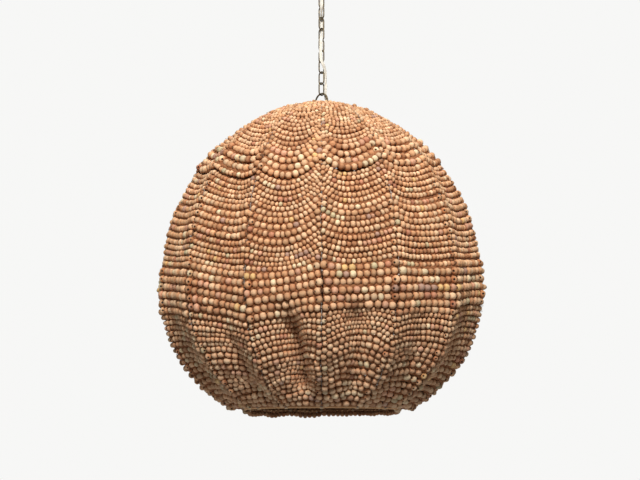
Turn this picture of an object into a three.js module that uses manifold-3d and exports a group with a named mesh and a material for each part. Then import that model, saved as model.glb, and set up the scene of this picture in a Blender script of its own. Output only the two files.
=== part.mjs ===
// Beaded chandelier: a globe of clay beads strung over fourteen bent ribs, hung on a chain from a canopy.
// Lengths are in millimetres, +Z is up, and the origin is the centre of the ceiling face.
import * as THREE from 'three';
import { mergeVertices } from 'three/addons/utils/BufferGeometryUtils.js';
import Module from 'manifold-3d';

const wasm = await Module();
wasm.setup();

// Clearances
const seatGap = 0.3;
const bandGap = 1;
const boreClearance = 0.4;
const cutOverrun = 2;

// Shade form, measured to the outer face of the ribs
const shadeRadius = 366.5;
const crownRise = 442;
const skirtDrop = 271;
const mouthRadius = 180;
const skirtFullness = 2.12;
const ribCount = 14;
const ribRod = 6;
const ringRod = 6;

// Beads, by band from the crown down: diameter of the beads
const crownFineBead = 9.5;
const crownLargeBead = 13.5;
const upperFineBead = 10.2;
const upperMediumBead = 14;
const middleFineBead = 11;
const waistLargeBead = 16.5;
const lowerFineBead = 11.5;
const skirtMediumBead = 13;

// Height of the groove between two rows, as a share of the bead
const valleyShare = 0.42;

// Where each band starts, as a share of the rib's arc from the axis to the bottom ring
const bandShares = [
  { name: 'beads_crown_fine', bead: crownFineBead, startShare: 0.034, endShare: 0.2945, ridges: 10, colour: 0xd9ab7e },
  { name: 'beads_crown_large', bead: crownLargeBead, startShare: 0.2945, endShare: 0.3845, ridges: 5, colour: 0xd3a379 },
  { name: 'beads_upper_fine', bead: upperFineBead, startShare: 0.3845, endShare: 0.4615, ridges: 5, colour: 0xd8aa7c },
  { name: 'beads_upper_medium', bead: upperMediumBead, startShare: 0.4615, endShare: 0.5435, ridges: 5, colour: 0xd2a176 },
  { name: 'beads_middle_fine', bead: middleFineBead, startShare: 0.5435, endShare: 0.6155, ridges: 5, colour: 0xc89670 },
  { name: 'beads_waist_large', bead: waistLargeBead, startShare: 0.6155, endShare: 0.7235, ridges: 6, colour: 0xcfa47c },
  { name: 'beads_lower_fine', bead: lowerFineBead, startShare: 0.7235, endShare: 0.8085, ridges: 6, colour: 0xb98a66 },
  { name: 'beads_skirt_medium', bead: skirtMediumBead, startShare: 0.8085, endShare: 0.992, ridges: 8, colour: 0xa97c5a },
];

// How far the rows hang off the ribs' line in the middle of a panel, as shares of the rib's arc:
// place along the arc, slide down the arc (negative is up), and depth of the fold
const swagShares = [
  [0, 0, 0],
  [0.034, 0, 0.001],
  [0.132, 0.01, 0.005],
  [0.233, 0.022, 0.009],
  [0.307, 0.0315, 0.012],
  [0.38, 0.0355, 0.013],
  [0.467, 0.028, 0.013],
  [0.547, 0.0225, 0.012],
  [0.605, 0.014, 0.012],
  [0.642, 0.006, 0.012],
  [0.69, 0, 0.014],
  [0.744, -0.016, 0.019],
  [0.792, -0.024, 0.025],
  [0.862, -0.024, 0.029],
  [0.923, -0.013, 0.02],
  [0.974, -0.003, 0.009],
  [1, 0, 0.004],
];

// Longest step along the inner face of a band
const liningStep = 38;

// Crown hub and the loop on it
const hubRadius = 24;
const hubThickness = 10;
const hubBevel = 1.2;
const hubProud = 3;
const loopWire = 4;
const loopHalfWidth = 20;
const loopHeight = 36;
const lockNutFlats = 13.6;
const lockNutHeight = 5;
const cordHoleRadius = 4.5;
const cordHolePlace = 13.2;

// Chain
const linkCount = 10;
const linkWire = 3.2;
const linkInnerLength = 27.2;
const linkOuterWidth = 19;
const chainTurn = Math.PI / 4;

// Ceiling fittings
const canopyRadius = 65;
const canopyDepth = 32;
const canopyWall = 1.5;
const canopyFlatRadius = 31;
const canopyLip = 5;
const strapLength = 110;
const strapWidth = 22;
const strapThickness = 2;
const strapScrewPlace = (strapLength - strapWidth) / 2;
const strapScrewRadius = 2.1;
const strapScrewHeadRadius = 4;
const strapScrewHeadHeight = 2.6;
const studRadius = 5;
const collarRadius = 11.4;
const collarHeight = 8;
const collarChamfer = 1.4;
const loopBaseRadius = 8;
const loopBaseHeight = 12;
const loopBaseFloor = 3;
const canopyRingWire = 4;
const canopyRingInner = 16;
const bushingPlaceX = 4;
const bushingPlaceY = -20.5;
const bushingBore = 4.3;
const bushingWall = 0.9;
const bushingFlange = 2.2;
const bushingLip = 1.4;

// Lamp cord, a flat twin cord
const cordWidth = 7.6;
const cordThickness = 4;
const cordSteps = 56;
const cordDivisions = 800;

// Lamps inside the shade
const stemRadius = 5;
const stemWall = 1.5;
const stemProud = 2;
const clusterDrop = 258;
const clusterRadius = 30;
const clusterHeight = 34;
const clusterShoulder = 6;
const lampCount = 3;
const lampTilt = THREE.MathUtils.degToRad(38);
const armRadius = 6.5;
const armReach = 42;
const holderRadius = 18.5;
const holderNoseShare = 0.7;
const holderFloor = 6;
const holderCover = 2;
const holderRimRadius = 20;
const holderRimLength = 5;
const capRadius = 13;
const capLength = 26;
const capTipRadius = 4.5;
const capTipLength = 4;
const bulbRadius = 30;
const bulbNeckRadius = 12.2;
const bulbLength = 84;

// Shoulder of the bulb, as shares of the way from neck to ball: out from the axis, and along it
const bulbShoulderShares = [[0.2, 0.3], [0.75, 0.68]];

const finialRadius = 8;
const finialLength = 20;
const finialShares = [0.25, 0.5, 0.8];

// Materials
function material(colour, roughness, metalness) {
  return new THREE.MeshStandardMaterial({ color: colour, roughness, metalness });
}
const antiqueMetal = material(0x8d8468, 0.45, 0.85);
const darkSteel = material(0x4a4038, 0.55, 0.7);
const cordPlastic = material(0xded8c6, 0.45, 0);
const ringTan = material(0xa07a58, 0.7, 0.1);
const holderPlastic = material(0x2f2a26, 0.5, 0);
const capMetal = material(0xb9b4a6, 0.35, 0.9);
const bulbGlass = material(0xf1ece0, 0.2, 0);

// The shade's outline: a quarter ellipse over the widest point and a fuller quarter below it
const skirtReach = skirtDrop / (1 - (mouthRadius / shadeRadius) ** skirtFullness) ** (1 / skirtFullness);
const outlineSteps = 600;

function outlinePoint(t) {
  if (t <= 1) {
    const angle = (1 - t) * Math.PI / 2;
    return new THREE.Vector2(shadeRadius * Math.cos(angle), crownRise * Math.sin(angle));
  }
  const drop = (t - 1) * skirtDrop;
  const fullness = 1 - (drop / skirtReach) ** skirtFullness;
  return new THREE.Vector2(shadeRadius * fullness ** (1 / skirtFullness), -drop);
}

const outline = [];
let arcLength = 0;
for (let i = 0; i <= outlineSteps; i += 1) {
  const at = outlinePoint(2 * i / outlineSteps);
  if (i > 0) arcLength += at.distanceTo(outline[i - 1].at);
  outline.push({ at, arc: arcLength });
}

// Radius, height above the widest point and outward normal at a length along the rib from the axis
function outlineAt(arc) {
  let i = outline.findIndex((o) => o.arc >= arc);
  if (i < 0) i = outlineSteps;
  i = Math.max(i, 1);
  const from = outline[i - 1];
  const to = outline[i];
  const part = (arc - from.arc) / (to.arc - from.arc);
  const at = from.at.clone().lerp(to.at, part);
  const along = to.at.clone().sub(from.at).normalize();
  return { at, normal: new THREE.Vector2(-along.y, along.x) };
}

// Heights, worked down from the ceiling
const collarTop = -canopyDepth - seatGap;
const loopBaseTop = collarTop - collarHeight - seatGap;
const loopBaseBottom = loopBaseTop - loopBaseHeight;
const canopyRingRadius = (canopyRingInner + canopyRingWire) / 2;
const canopyRingCentre = loopBaseBottom - canopyRingRadius;
const studBottom = loopBaseBottom + loopBaseFloor + seatGap;
const linkPitch = linkInnerLength - seatGap;
const linkBend = (linkOuterWidth - linkWire) / 2;
const firstLink = canopyRingCentre - canopyRingInner / 2 + seatGap - linkInnerLength / 2;
const lastLink = firstLink - (linkCount - 1) * linkPitch;
const loopTop = lastLink - linkInnerLength / 2 + seatGap + loopWire;
const hubTop = loopTop - loopHeight;
const crownTop = hubTop - hubProud;
const widest = crownTop - crownRise;
const ringHeight = widest - skirtDrop;
const clusterTop = hubTop - clusterDrop;

// A closed body from a geometry: shared corners merged, faces turned out
function body(geometry) {
  const bare = geometry.index ? geometry.toNonIndexed() : geometry.clone();
  const merged = mergeVertices(new THREE.BufferGeometry().setAttribute('position', bare.getAttribute('position')), 1e-4);
  const at = merged.getAttribute('position');
  const index = Array.from(merged.index.array);
  const faces = [];
  let volume = 0;
  const a = new THREE.Vector3();
  const b = new THREE.Vector3();
  const c = new THREE.Vector3();
  for (let i = 0; i < index.length; i += 3) {
    const [p, q, r] = index.slice(i, i + 3);
    if (p === q || q === r || r === p) continue;
    faces.push([p, q, r]);
    a.fromBufferAttribute(at, p);
    b.fromBufferAttribute(at, q);
    c.fromBufferAttribute(at, r);
    volume += a.dot(b.cross(c));
  }
  merged.setIndex(faces.flatMap((f) => (volume < 0 ? [f[0], f[2], f[1]] : f)));
  return merged;
}

function solid(geometry) {
  const closed = body(geometry);
  return new wasm.Manifold(new wasm.Mesh({
    numProp: 3,
    vertProperties: closed.getAttribute('position').array,
    triVerts: new Uint32Array(closed.index.array),
  }));
}

function geometryOf(manifold) {
  const mesh = manifold.getMesh();
  const geometry = new THREE.BufferGeometry();
  geometry.setAttribute('position', new THREE.BufferAttribute(new Float32Array(mesh.vertProperties), 3));
  geometry.setIndex(Array.from(mesh.triVerts));
  return geometry;
}

// Turned body about +Z from a profile of [radius, height] that starts and ends on the axis or closes on itself
function turned(profile, segments, closes = false) {
  const points = profile.map(([r, z]) => new THREE.Vector2(Math.max(r, 0), z));
  if (closes) points.push(points[0].clone());
  return new THREE.LatheGeometry(points, segments).rotateX(Math.PI / 2);
}

function circle(radius, sides, turn = 0) {
  const points = [];
  for (let i = 0; i < sides; i += 1) {
    const angle = turn + 2 * Math.PI * i / sides;
    points.push(new THREE.Vector2(radius * Math.cos(angle), radius * Math.sin(angle)));
  }
  return points;
}

// Flat plate with holes, its lower face at height zero
function plate(points, holes, thickness, bevel = 0) {
  const shape = new THREE.Shape(points);
  for (const hole of holes) shape.holes.push(new THREE.Path(hole));
  return new THREE.ExtrudeGeometry(shape, {
    depth: thickness - 2 * bevel,
    steps: 1,
    bevelEnabled: bevel > 0,
    bevelThickness: bevel,
    bevelSize: bevel,
    bevelOffset: -bevel,
    bevelSegments: 1,
  }).translate(0, 0, bevel);
}

// Rod along an open curve
function rod(path, radius, sides, steps) {
  return new THREE.ExtrudeGeometry(new THREE.Shape(circle(radius, sides, Math.PI / sides)), {
    extrudePath: path,
    steps,
    bevelEnabled: false,
  });
}

// Closed loft: rings of points, each closed on itself, and the last ring joined to the first
function closedLoft(rings) {
  const around = rings[0].length;
  const corners = [];
  for (const ring of rings) for (const p of ring) corners.push(p.x, p.y, p.z);
  const faces = [];
  for (let i = 0; i < rings.length; i += 1) {
    const next = (i + 1) % rings.length;
    for (let j = 0; j < around; j += 1) {
      const over = (j + 1) % around;
      const a = i * around + j;
      const b = next * around + j;
      const c = next * around + over;
      const d = i * around + over;
      faces.push(a, b, c, a, c, d);
    }
  }
  const geometry = new THREE.BufferGeometry();
  geometry.setAttribute('position', new THREE.Float32BufferAttribute(corners, 3));
  geometry.setIndex(faces);
  return geometry;
}

// Closed wire loop in the XZ plane: round ends joined by straight legs
function wireLoop(bendRadius, legLength, wire, endSteps, sides) {
  const stations = [];
  for (const end of [1, -1]) {
    for (let i = 0; i <= endSteps; i += 1) {
      if (legLength === 0 && i === endSteps) continue;
      const angle = Math.PI * i / endSteps + (end > 0 ? 0 : Math.PI);
      stations.push({ angle, lift: end * legLength / 2 });
    }
  }
  return closedLoft(stations.map(({ angle, lift }) => circle(wire / 2, sides, Math.PI / sides).map((p) => {
    const reach = bendRadius + p.x;
    return new THREE.Vector3(reach * Math.cos(angle), p.y, lift + reach * Math.sin(angle));
  })));
}

const chandelier = new THREE.Group();

function add(name, geometry, look, place = null) {
  const mesh = new THREE.Mesh(body(geometry), look);
  mesh.name = name;
  if (place) place(mesh);
  chandelier.add(mesh);
  return mesh;
}

function numbered(name, i, digits) {
  return `${name}_${String(i).padStart(digits, '0')}`;
}

// Mounting strap, its screws and the stud
function ceilingFittings() {
  const half = strapLength / 2;
  const round = strapWidth / 2;
  const edge = [];
  const endSteps = 5;
  for (const side of [1, -1]) {
    for (let i = 0; i <= endSteps; i += 1) {
      const angle = -Math.PI / 2 + Math.PI * i / endSteps + (side > 0 ? 0 : Math.PI);
      edge.push(new THREE.Vector2(
        side * (half - round) + round * Math.cos(angle),
        round * Math.sin(angle),
      ));
    }
  }
  const screwHole = circle(strapScrewRadius + boreClearance, 12);
  const strapHoles = [
    circle(studRadius + boreClearance, 16),
    screwHole.map((p) => new THREE.Vector2(p.x + strapScrewPlace, p.y)),
    screwHole.map((p) => new THREE.Vector2(p.x - strapScrewPlace, p.y)),
  ];
  add('mounting_strap', plate(edge, strapHoles, strapThickness).translate(0, 0, -strapThickness), darkSteel);

  const headTop = -strapThickness - seatGap;
  const screw = turned([
    [0, 0],
    [strapScrewRadius, 0],
    [strapScrewRadius, headTop],
    [strapScrewHeadRadius, headTop],
    [strapScrewHeadRadius, headTop - strapScrewHeadHeight / 2],
    [strapScrewHeadRadius / 2, headTop - strapScrewHeadHeight],
    [0, headTop - strapScrewHeadHeight],
  ], 12);
  add('strap_screw_left', screw, capMetal, (m) => m.position.set(-strapScrewPlace, 0, 0));
  add('strap_screw_right', screw, capMetal, (m) => m.position.set(strapScrewPlace, 0, 0));

  add('ceiling_stud', turned([
    [0, 0],
    [studRadius, 0],
    [studRadius, studBottom],
    [0, studBottom],
  ], 16), darkSteel);
}

// Canopy dish, collar, loop and cord bushing
function canopyFittings() {
  const holeRadius = studRadius + boreClearance;
  const dish = [];
  const bowSteps = 4;
  for (let i = 0; i <= bowSteps; i += 1) {
    const angle = Math.PI / 2 * i / bowSteps;
    dish.push([
      canopyFlatRadius + (canopyRadius - canopyFlatRadius) * Math.cos(angle),
      -canopyLip - (canopyDepth - canopyLip) * Math.sin(angle),
    ]);
  }
  const inner = dish.map(([r, z]) => [r - canopyWall, z + canopyWall]).reverse();
  const bowl = solid(turned([
    [canopyRadius, 0],
    ...dish,
    [holeRadius, -canopyDepth],
    [holeRadius, -canopyDepth + canopyWall],
    ...inner,
    [canopyRadius - canopyWall, 0],
  ], 28, true));
  const grooveRadius = bushingBore + bushingWall;
  const cordCut = solid(new THREE.CylinderGeometry(
    grooveRadius + seatGap,
    grooveRadius + seatGap,
    canopyWall + 2 * cutOverrun,
    12,
  ).rotateX(Math.PI / 2).translate(bushingPlaceX, bushingPlaceY, -canopyDepth + canopyWall / 2));
  add('ceiling_canopy', geometryOf(bowl.subtract(cordCut)), antiqueMetal);

  const flangeRadius = grooveRadius + bushingFlange;
  const top = -canopyDepth + canopyWall + seatGap;
  const bottom = -canopyDepth - seatGap;
  add('cord_bushing', turned([
    [bushingBore, top + bushingLip],
    [bushingBore, bottom - bushingLip],
    [flangeRadius, bottom - bushingLip],
    [flangeRadius, bottom],
    [grooveRadius, bottom],
    [grooveRadius, top],
    [flangeRadius, top],
    [flangeRadius, top + bushingLip],
  ], 12, true), holderPlastic, (m) => m.position.set(bushingPlaceX, bushingPlaceY, 0));

  const collarBottom = collarTop - collarHeight;
  add('canopy_collar', turned([
    [holeRadius, collarTop],
    [holeRadius, collarBottom],
    [collarRadius - collarChamfer, collarBottom],
    [collarRadius, collarBottom + collarChamfer],
    [collarRadius, collarTop - collarChamfer],
    [collarRadius - collarChamfer, collarTop],
  ], 16, true), antiqueMetal);

  const base = solid(turned([
    [0, loopBaseBottom + loopBaseFloor],
    [holeRadius, loopBaseBottom + loopBaseFloor],
    [holeRadius, loopBaseTop],
    [loopBaseRadius, loopBaseTop],
    [loopBaseRadius, loopBaseBottom + loopBaseFloor],
    [loopBaseRadius - loopBaseFloor, loopBaseBottom],
    [0, loopBaseBottom],
  ], 16));
  const ring = solid(wireLoop(canopyRingRadius, 0, canopyRingWire, 8, 8)
    .rotateZ(chainTurn)
    .translate(0, 0, canopyRingCentre));
  add('canopy_loop', geometryOf(base.add(ring)), antiqueMetal);
}

// Chain, each link a quarter turn from the one above it
function chain() {
  const link = wireLoop(linkBend, linkInnerLength + linkWire - 2 * linkBend, linkWire, 5, 6);
  for (let i = 1; i <= linkCount; i += 1) {
    add(numbered('chain_link', i, 2), link, antiqueMetal, (m) => {
      m.position.z = firstLink - (i - 1) * linkPitch;
      m.rotation.z = chainTurn + i * Math.PI / 2;
    });
  }
}

// Twin cord: its route from the canopy, in and out of the chain and down the stem to the cluster.
// Each entry is a point and the way its broad side faces across.
const cordRoute = [
  [4, -20.5, -6, 1, 0, 0],
  [4, -20.5, -22, 1, 0, 0],
  [4, -20.5, -38, 1, 0, 0],
  [3.6, -17.6, -56, 1, 0, 0],
  [2.6, -12.4, -76, 1, 0, 0],
  [1.6, -9.8, -94, 1, 0, 0],
  [0.8, -9.4, -112, 1, 0.1, 0],
  [0.2, -8.4, -126, 0.6, 0, 0.8],
  [0, 0, -137.7, 0, 0, 1],
  [0, 8.4, -149, -0.6, 0, 0.8],
  [0, 9.4, -164.6, -1, 0, 0],
  [0, 8.4, -180, -0.6, 0, -0.8],
  [0, 0, -191.5, 0, 0, -1],
  [-0.6, -8.4, -203, 0.6, 0, -0.8],
  [-1.2, -9.4, -218, 1, 0, 0],
  [-1.8, -9.4, -236, 1, 0, 0],
  [-0.6, -9.3, -256, 1, 0, 0],
  [3.8, -8.4, -267, 0.9, 0.4, 0],
  [7.6, -4.4, -277, 0.7, 0.7, 0],
  [9.6, -0.6, -290, 0.5, 0.8, 0],
  [10, 0, -308, 0.3, 1, 0],
  [9.8, 0, -326, 0.5, -0.8, 0],
  [9.6, 0, -343, 0.7, -0.7, 0],
  [11.6, 0, -358, 0.3, -1, 0],
  [13.2, 0, -372, 0, -1, 0],
  [13.2, 0, -392, 0, -1, 0],
  [13.2, 0, -440, 0, -1, 0],
  [13.2, 0, -510, 0, -1, 0],
  [13.2, 0, -570, 0, -1, 0],
  [13.2, 0, -600, 0, -1, 0],
];

// The cord's path, with frames that keep its broad side facing as the route says
class CordPath extends THREE.Curve {
  constructor(route, end) {
    super();
    const points = route.map(([x, y, z]) => new THREE.Vector3(x, y, z));
    const across = route.map((p) => new THREE.Vector3(p[3], p[4], p[5]).normalize());
    points.push(new THREE.Vector3(points.at(-1).x, points.at(-1).y, end));
    across.push(across.at(-1).clone());
    this.route = new THREE.CatmullRomCurve3(points, false, 'centripetal');
    this.across = across;
  }

  getPoint(t, target = new THREE.Vector3()) {
    return this.route.getPoint(t, target);
  }

  computeFrenetFrames(segments) {
    const tangents = [];
    const normals = [];
    const binormals = [];
    for (let i = 0; i <= segments; i += 1) {
      const u = i / segments;
      const place = this.getUtoTmapping(u) * (this.across.length - 1);
      const from = Math.min(Math.floor(place), this.across.length - 2);
      const tangent = this.getTangentAt(u);
      const normal = this.across[from].clone().lerp(this.across[from + 1], place - from);
      normal.addScaledVector(tangent, -normal.dot(tangent)).normalize();
      tangents.push(tangent);
      normals.push(normal);
      binormals.push(tangent.clone().cross(normal));
    }
    return { tangents, normals, binormals };
  }
}

function lampCord() {
  const halfWidth = cordWidth / 2;
  const halfDepth = cordThickness / 2;
  const section = new THREE.Shape(circle(1, 8, Math.PI / 8).map((p) => new THREE.Vector2(
    halfWidth * p.x / Math.cos(Math.PI / 8),
    halfDepth * p.y / Math.cos(Math.PI / 8),
  )));
  const path = new CordPath(cordRoute, clusterTop + seatGap);
  path.arcLengthDivisions = cordDivisions;
  add('lamp_cord', new THREE.ExtrudeGeometry(section, {
    extrudePath: path,
    steps: cordSteps,
    bevelEnabled: false,
  }), cordPlastic);
}

// Hub, lock nut and the loop that the last link holds
function crownFittings() {
  const hubHole = circle(stemRadius + boreClearance, 12);
  const cordHole = circle(cordHoleRadius, 12).map((p) => new THREE.Vector2(p.x + cordHolePlace, p.y));
  const rim = circle(hubRadius, ribCount, -Math.PI / 2 + Math.PI / ribCount);
  const hub = plate(rim, [hubHole, cordHole], hubThickness, hubBevel);
  add('top_hub', hub.translate(0, 0, hubTop - hubThickness), darkSteel);

  const nut = circle(lockNutFlats / 2 / Math.cos(Math.PI / 6), 6);
  add('hub_lock_nut', plate(nut, [hubHole], lockNutHeight).translate(0, 0, hubTop + seatGap), antiqueMetal);

  const legs = loopHeight - loopWire / 2 - loopHalfWidth;
  class LoopPath extends THREE.Curve {
    getPoint(t, target = new THREE.Vector3()) {
      const arch = Math.PI * loopHalfWidth;
      const run = t * (2 * legs + arch);
      if (run < legs) return target.set(-loopHalfWidth, 0, run);
      if (run > legs + arch) return target.set(loopHalfWidth, 0, 2 * legs + arch - run);
      const angle = Math.PI - (run - legs) / loopHalfWidth;
      return target.set(loopHalfWidth * Math.cos(angle), 0, legs + loopHalfWidth * Math.sin(angle));
    }
  }
  const loop = rod(new LoopPath(), loopWire / 2, 8, 16)
    .rotateZ(chainTurn + Math.PI / 2)
    .translate(0, 0, hubTop + seatGap);
  add('shade_loop', loop, antiqueMetal);
}

// Ribs from the hub to the ring, and the ring
function frame() {
  class RibPath extends THREE.Curve {
    constructor(start, end) {
      super();
      this.start = start;
      this.end = end;
    }

    getPoint(t, target = new THREE.Vector3()) {
      const { at, normal } = outlineAt(this.start + t * (this.end - this.start));
      return target.set(at.x - normal.x * ribRod / 2, 0, widest + at.y - normal.y * ribRod / 2);
    }
  }
  const start = hubRadius + seatGap;
  const end = arcLength - ringRod / 2 - seatGap;
  const rib = rod(new RibPath(start, end), ribRod / 2, 6, 12);
  for (let i = 1; i <= ribCount; i += 1) {
    add(numbered('rib', i, 2), rib, darkSteel, (m) => {
      m.rotation.z = -Math.PI / 2 + (i - 1) * 2 * Math.PI / ribCount;
    });
  }

  const { normal } = outlineAt(arcLength);
  const section = circle(ringRod / 2, 6).map((p) => [
    mouthRadius - normal.x * ribRod / 2 + p.x,
    ringHeight - normal.y * ribRod / 2 + p.y,
  ]);
  add('bottom_ring', turned(section, 3 * ribCount, true), ringTan);
}

// How far rows hang off the ribs' line in the middle of a panel, at a place along the arc
function swagAt(arc) {
  const share = arc / arcLength;
  let i = swagShares.findIndex((row) => row[0] >= share);
  if (i < 1) i = i < 0 ? swagShares.length - 1 : 1;
  const from = swagShares[i - 1];
  const to = swagShares[i];
  const part = (share - from[0]) / (to[0] - from[0]);
  return {
    slide: (from[1] + part * (to[1] - from[1])) * arcLength,
    depth: (from[2] + part * (to[2] - from[2])) * arcLength,
  };
}

// A point of the bead skin: along the rib's arc, share of the way from a rib to mid-panel, and height off the ribs
function skinPoint(arc, fold, lift, angle) {
  const { slide, depth } = swagAt(arc);
  const { at, normal } = outlineAt(Math.min(arc + slide * fold, arcLength));
  const out = lift - depth * fold;
  const radius = at.x + normal.x * out;
  return new THREE.Vector3(radius * Math.cos(angle), radius * Math.sin(angle), widest + at.y + normal.y * out);
}

// Least lift that keeps a folded skin off the round rib that carries it
function ribSeat(arc) {
  const { at } = outlineAt(arc);
  const { depth } = swagAt(arc);
  const half = Math.PI / ribCount;
  const inner = at.x - depth;
  const slope = (at.x - inner * Math.cos(half)) / (inner * Math.sin(half));
  return ribRod / 2 * (Math.hypot(1, slope) - 1) + seatGap;
}

// How far a straight lining step cuts inside the curve of the outline
function liningSag(from, to) {
  const a = outlineAt(from).at;
  const b = outlineAt(to).at;
  const middle = outlineAt((from + to) / 2).at;
  return middle.distanceTo(a.clone().lerp(b, 0.5));
}

// Bands of beads: each one row or pair of rows to a ridge, hung in swags from rib to rib
function beads() {
  const foldsAround = 2 * ribCount;
  for (const { name, bead, startShare, endShare, ridges, colour } of bandShares) {
    const start = startShare * arcLength + bandGap / 2;
    const end = endShare * arcLength - bandGap / 2;
    const linings = Math.ceil((end - start) / liningStep);
    const lining = [];
    for (let i = linings; i >= 0; i -= 1) lining.push(start + (end - start) * i / linings);
    const sag = Math.max(...lining.slice(1).map((arc, i) => liningSag(arc, lining[i])));
    const rings = [];
    for (let j = 0; j < foldsAround; j += 1) {
      const angle = -Math.PI / 2 + j * Math.PI / ribCount;
      const fold = j % 2;
      const ring = [];
      for (let k = 0; k <= 2 * ridges; k += 1) {
        const arc = start + (end - start) * k / (2 * ridges);
        const height = k % 2 ? bead : bead * valleyShare;
        ring.push(skinPoint(arc, fold, ribSeat(arc) + sag + height, angle));
      }
      for (const arc of lining) ring.push(skinPoint(arc, fold, ribSeat(arc) + sag, angle));
      rings.push(ring);
    }
    add(name, closedLoft(rings), material(colour, 0.8, 0));
  }
}

// Stem, cluster and finial
function lampCarrier() {
  const stemTop = hubTop + seatGap + lockNutHeight + stemProud;
  add('lamp_stem', turned([
    [stemRadius, stemTop],
    [stemRadius, clusterTop + seatGap],
    [stemRadius - stemWall, clusterTop + seatGap],
    [stemRadius - stemWall, stemTop],
  ], 12, true), antiqueMetal);

  let cluster = solid(turned([
    [0, clusterTop],
    [clusterRadius - clusterShoulder, clusterTop],
    [clusterRadius, clusterTop - clusterShoulder],
    [clusterRadius, clusterTop - clusterHeight + clusterShoulder],
    [clusterRadius - clusterShoulder, clusterTop - clusterHeight],
    [0, clusterTop - clusterHeight],
  ], 24));
  for (let i = 0; i < lampCount; i += 1) {
    const arm = new THREE.CylinderGeometry(armRadius, armRadius, armReach, 12).translate(0, armReach / 2, 0);
    cluster = cluster.add(solid(arm.applyMatrix4(lampPlace(i))));
  }
  add('lamp_cluster', geometryOf(cluster), antiqueMetal);

  const finialTop = clusterTop - clusterHeight - seatGap;
  const neck = finialRadius / 2;
  add('cluster_finial', turned([
    [0, finialTop],
    [neck, finialTop],
    [neck, finialTop - finialLength * finialShares[0]],
    [finialRadius, finialTop - finialLength * finialShares[1]],
    [finialRadius * finialShares[2], finialTop - finialLength * finialShares[2]],
    [0, finialTop - finialLength],
  ], 12), antiqueMetal);
}

// Frame of lamp i: its +Y runs out along the lamp from the middle of the cluster
function lampPlace(i) {
  const outward = -Math.PI / 2 + 2 * Math.PI * i / lampCount;
  const axis = new THREE.Vector3(
    Math.cos(lampTilt) * Math.cos(outward),
    Math.cos(lampTilt) * Math.sin(outward),
    -Math.sin(lampTilt),
  );
  const turn = new THREE.Quaternion().setFromUnitVectors(new THREE.Vector3(0, 1, 0), axis);
  const centre = new THREE.Vector3(0, 0, clusterTop - clusterHeight / 2);
  return new THREE.Matrix4().compose(centre, turn, new THREE.Vector3(1, 1, 1));
}

// Lamp holders with a bulb in each: profiles are [radius, way out along the lamp]
function lamps() {
  const holderStart = armReach + seatGap;
  const holderEnd = holderStart + holderFloor + seatGap + capTipLength + capLength + holderCover;
  const bore = capRadius + boreClearance;
  const holder = new THREE.LatheGeometry([
    [0, holderStart],
    [holderRadius * holderNoseShare, holderStart],
    [holderRadius, holderStart + holderFloor],
    [holderRadius, holderEnd - holderRimLength],
    [holderRimRadius, holderEnd - holderRimLength],
    [holderRimRadius, holderEnd],
    [bore, holderEnd],
    [bore, holderStart + holderFloor],
    [0, holderStart + holderFloor],
  ].map(([r, y]) => new THREE.Vector2(r, y)), 14);

  const capStart = holderStart + holderFloor + seatGap;
  const capEnd = capStart + capTipLength + capLength;
  const cap = new THREE.LatheGeometry([
    [0, capStart],
    [capTipRadius, capStart],
    [capTipRadius, capStart + capTipLength / 2],
    [capRadius, capStart + capTipLength],
    [capRadius, capEnd],
    [0, capEnd],
  ].map(([r, y]) => new THREE.Vector2(r, y)), 14);

  const glassStart = capEnd + seatGap;
  const ball = glassStart + bulbLength - bulbRadius;
  const glassProfile = [
    [0, glassStart],
    [bulbNeckRadius, glassStart],
    ...bulbShoulderShares.map(([out, along]) => [
      bulbNeckRadius + (bulbRadius - bulbNeckRadius) * out,
      glassStart + (bulbLength - bulbRadius) * along,
    ]),
  ];
  const ballSteps = 4;
  for (let i = 0; i <= ballSteps; i += 1) {
    const angle = Math.PI / 2 * i / ballSteps;
    glassProfile.push([bulbRadius * Math.cos(angle), ball + bulbRadius * Math.sin(angle)]);
  }
  const glass = new THREE.LatheGeometry(glassProfile.map(([r, y]) => new THREE.Vector2(r, y)), 14);

  for (let i = 0; i < lampCount; i += 1) {
    const place = lampPlace(i);
    add(numbered('lamp_holder', i + 1, 1), holder, holderPlastic, (m) => m.applyMatrix4(place));
    add(numbered('bulb_cap', i + 1, 1), cap, capMetal, (m) => m.applyMatrix4(place));
    add(numbered('bulb_glass', i + 1, 1), glass, bulbGlass, (m) => m.applyMatrix4(place));
  }
}

ceilingFittings();
canopyFittings();
chain();
lampCord();
crownFittings();
frame();
beads();
lampCarrier();
lamps();

export default chandelier;
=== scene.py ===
"""Looks of a beaded chandelier: a globe of clay beads strung over fourteen ribs and hung on a chain.

Lengths are in metres, +Z is up, and the origin is the centre of the ceiling face.
"""

import math

import bpy
import numpy as np
from mathutils import Matrix, Vector


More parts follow.
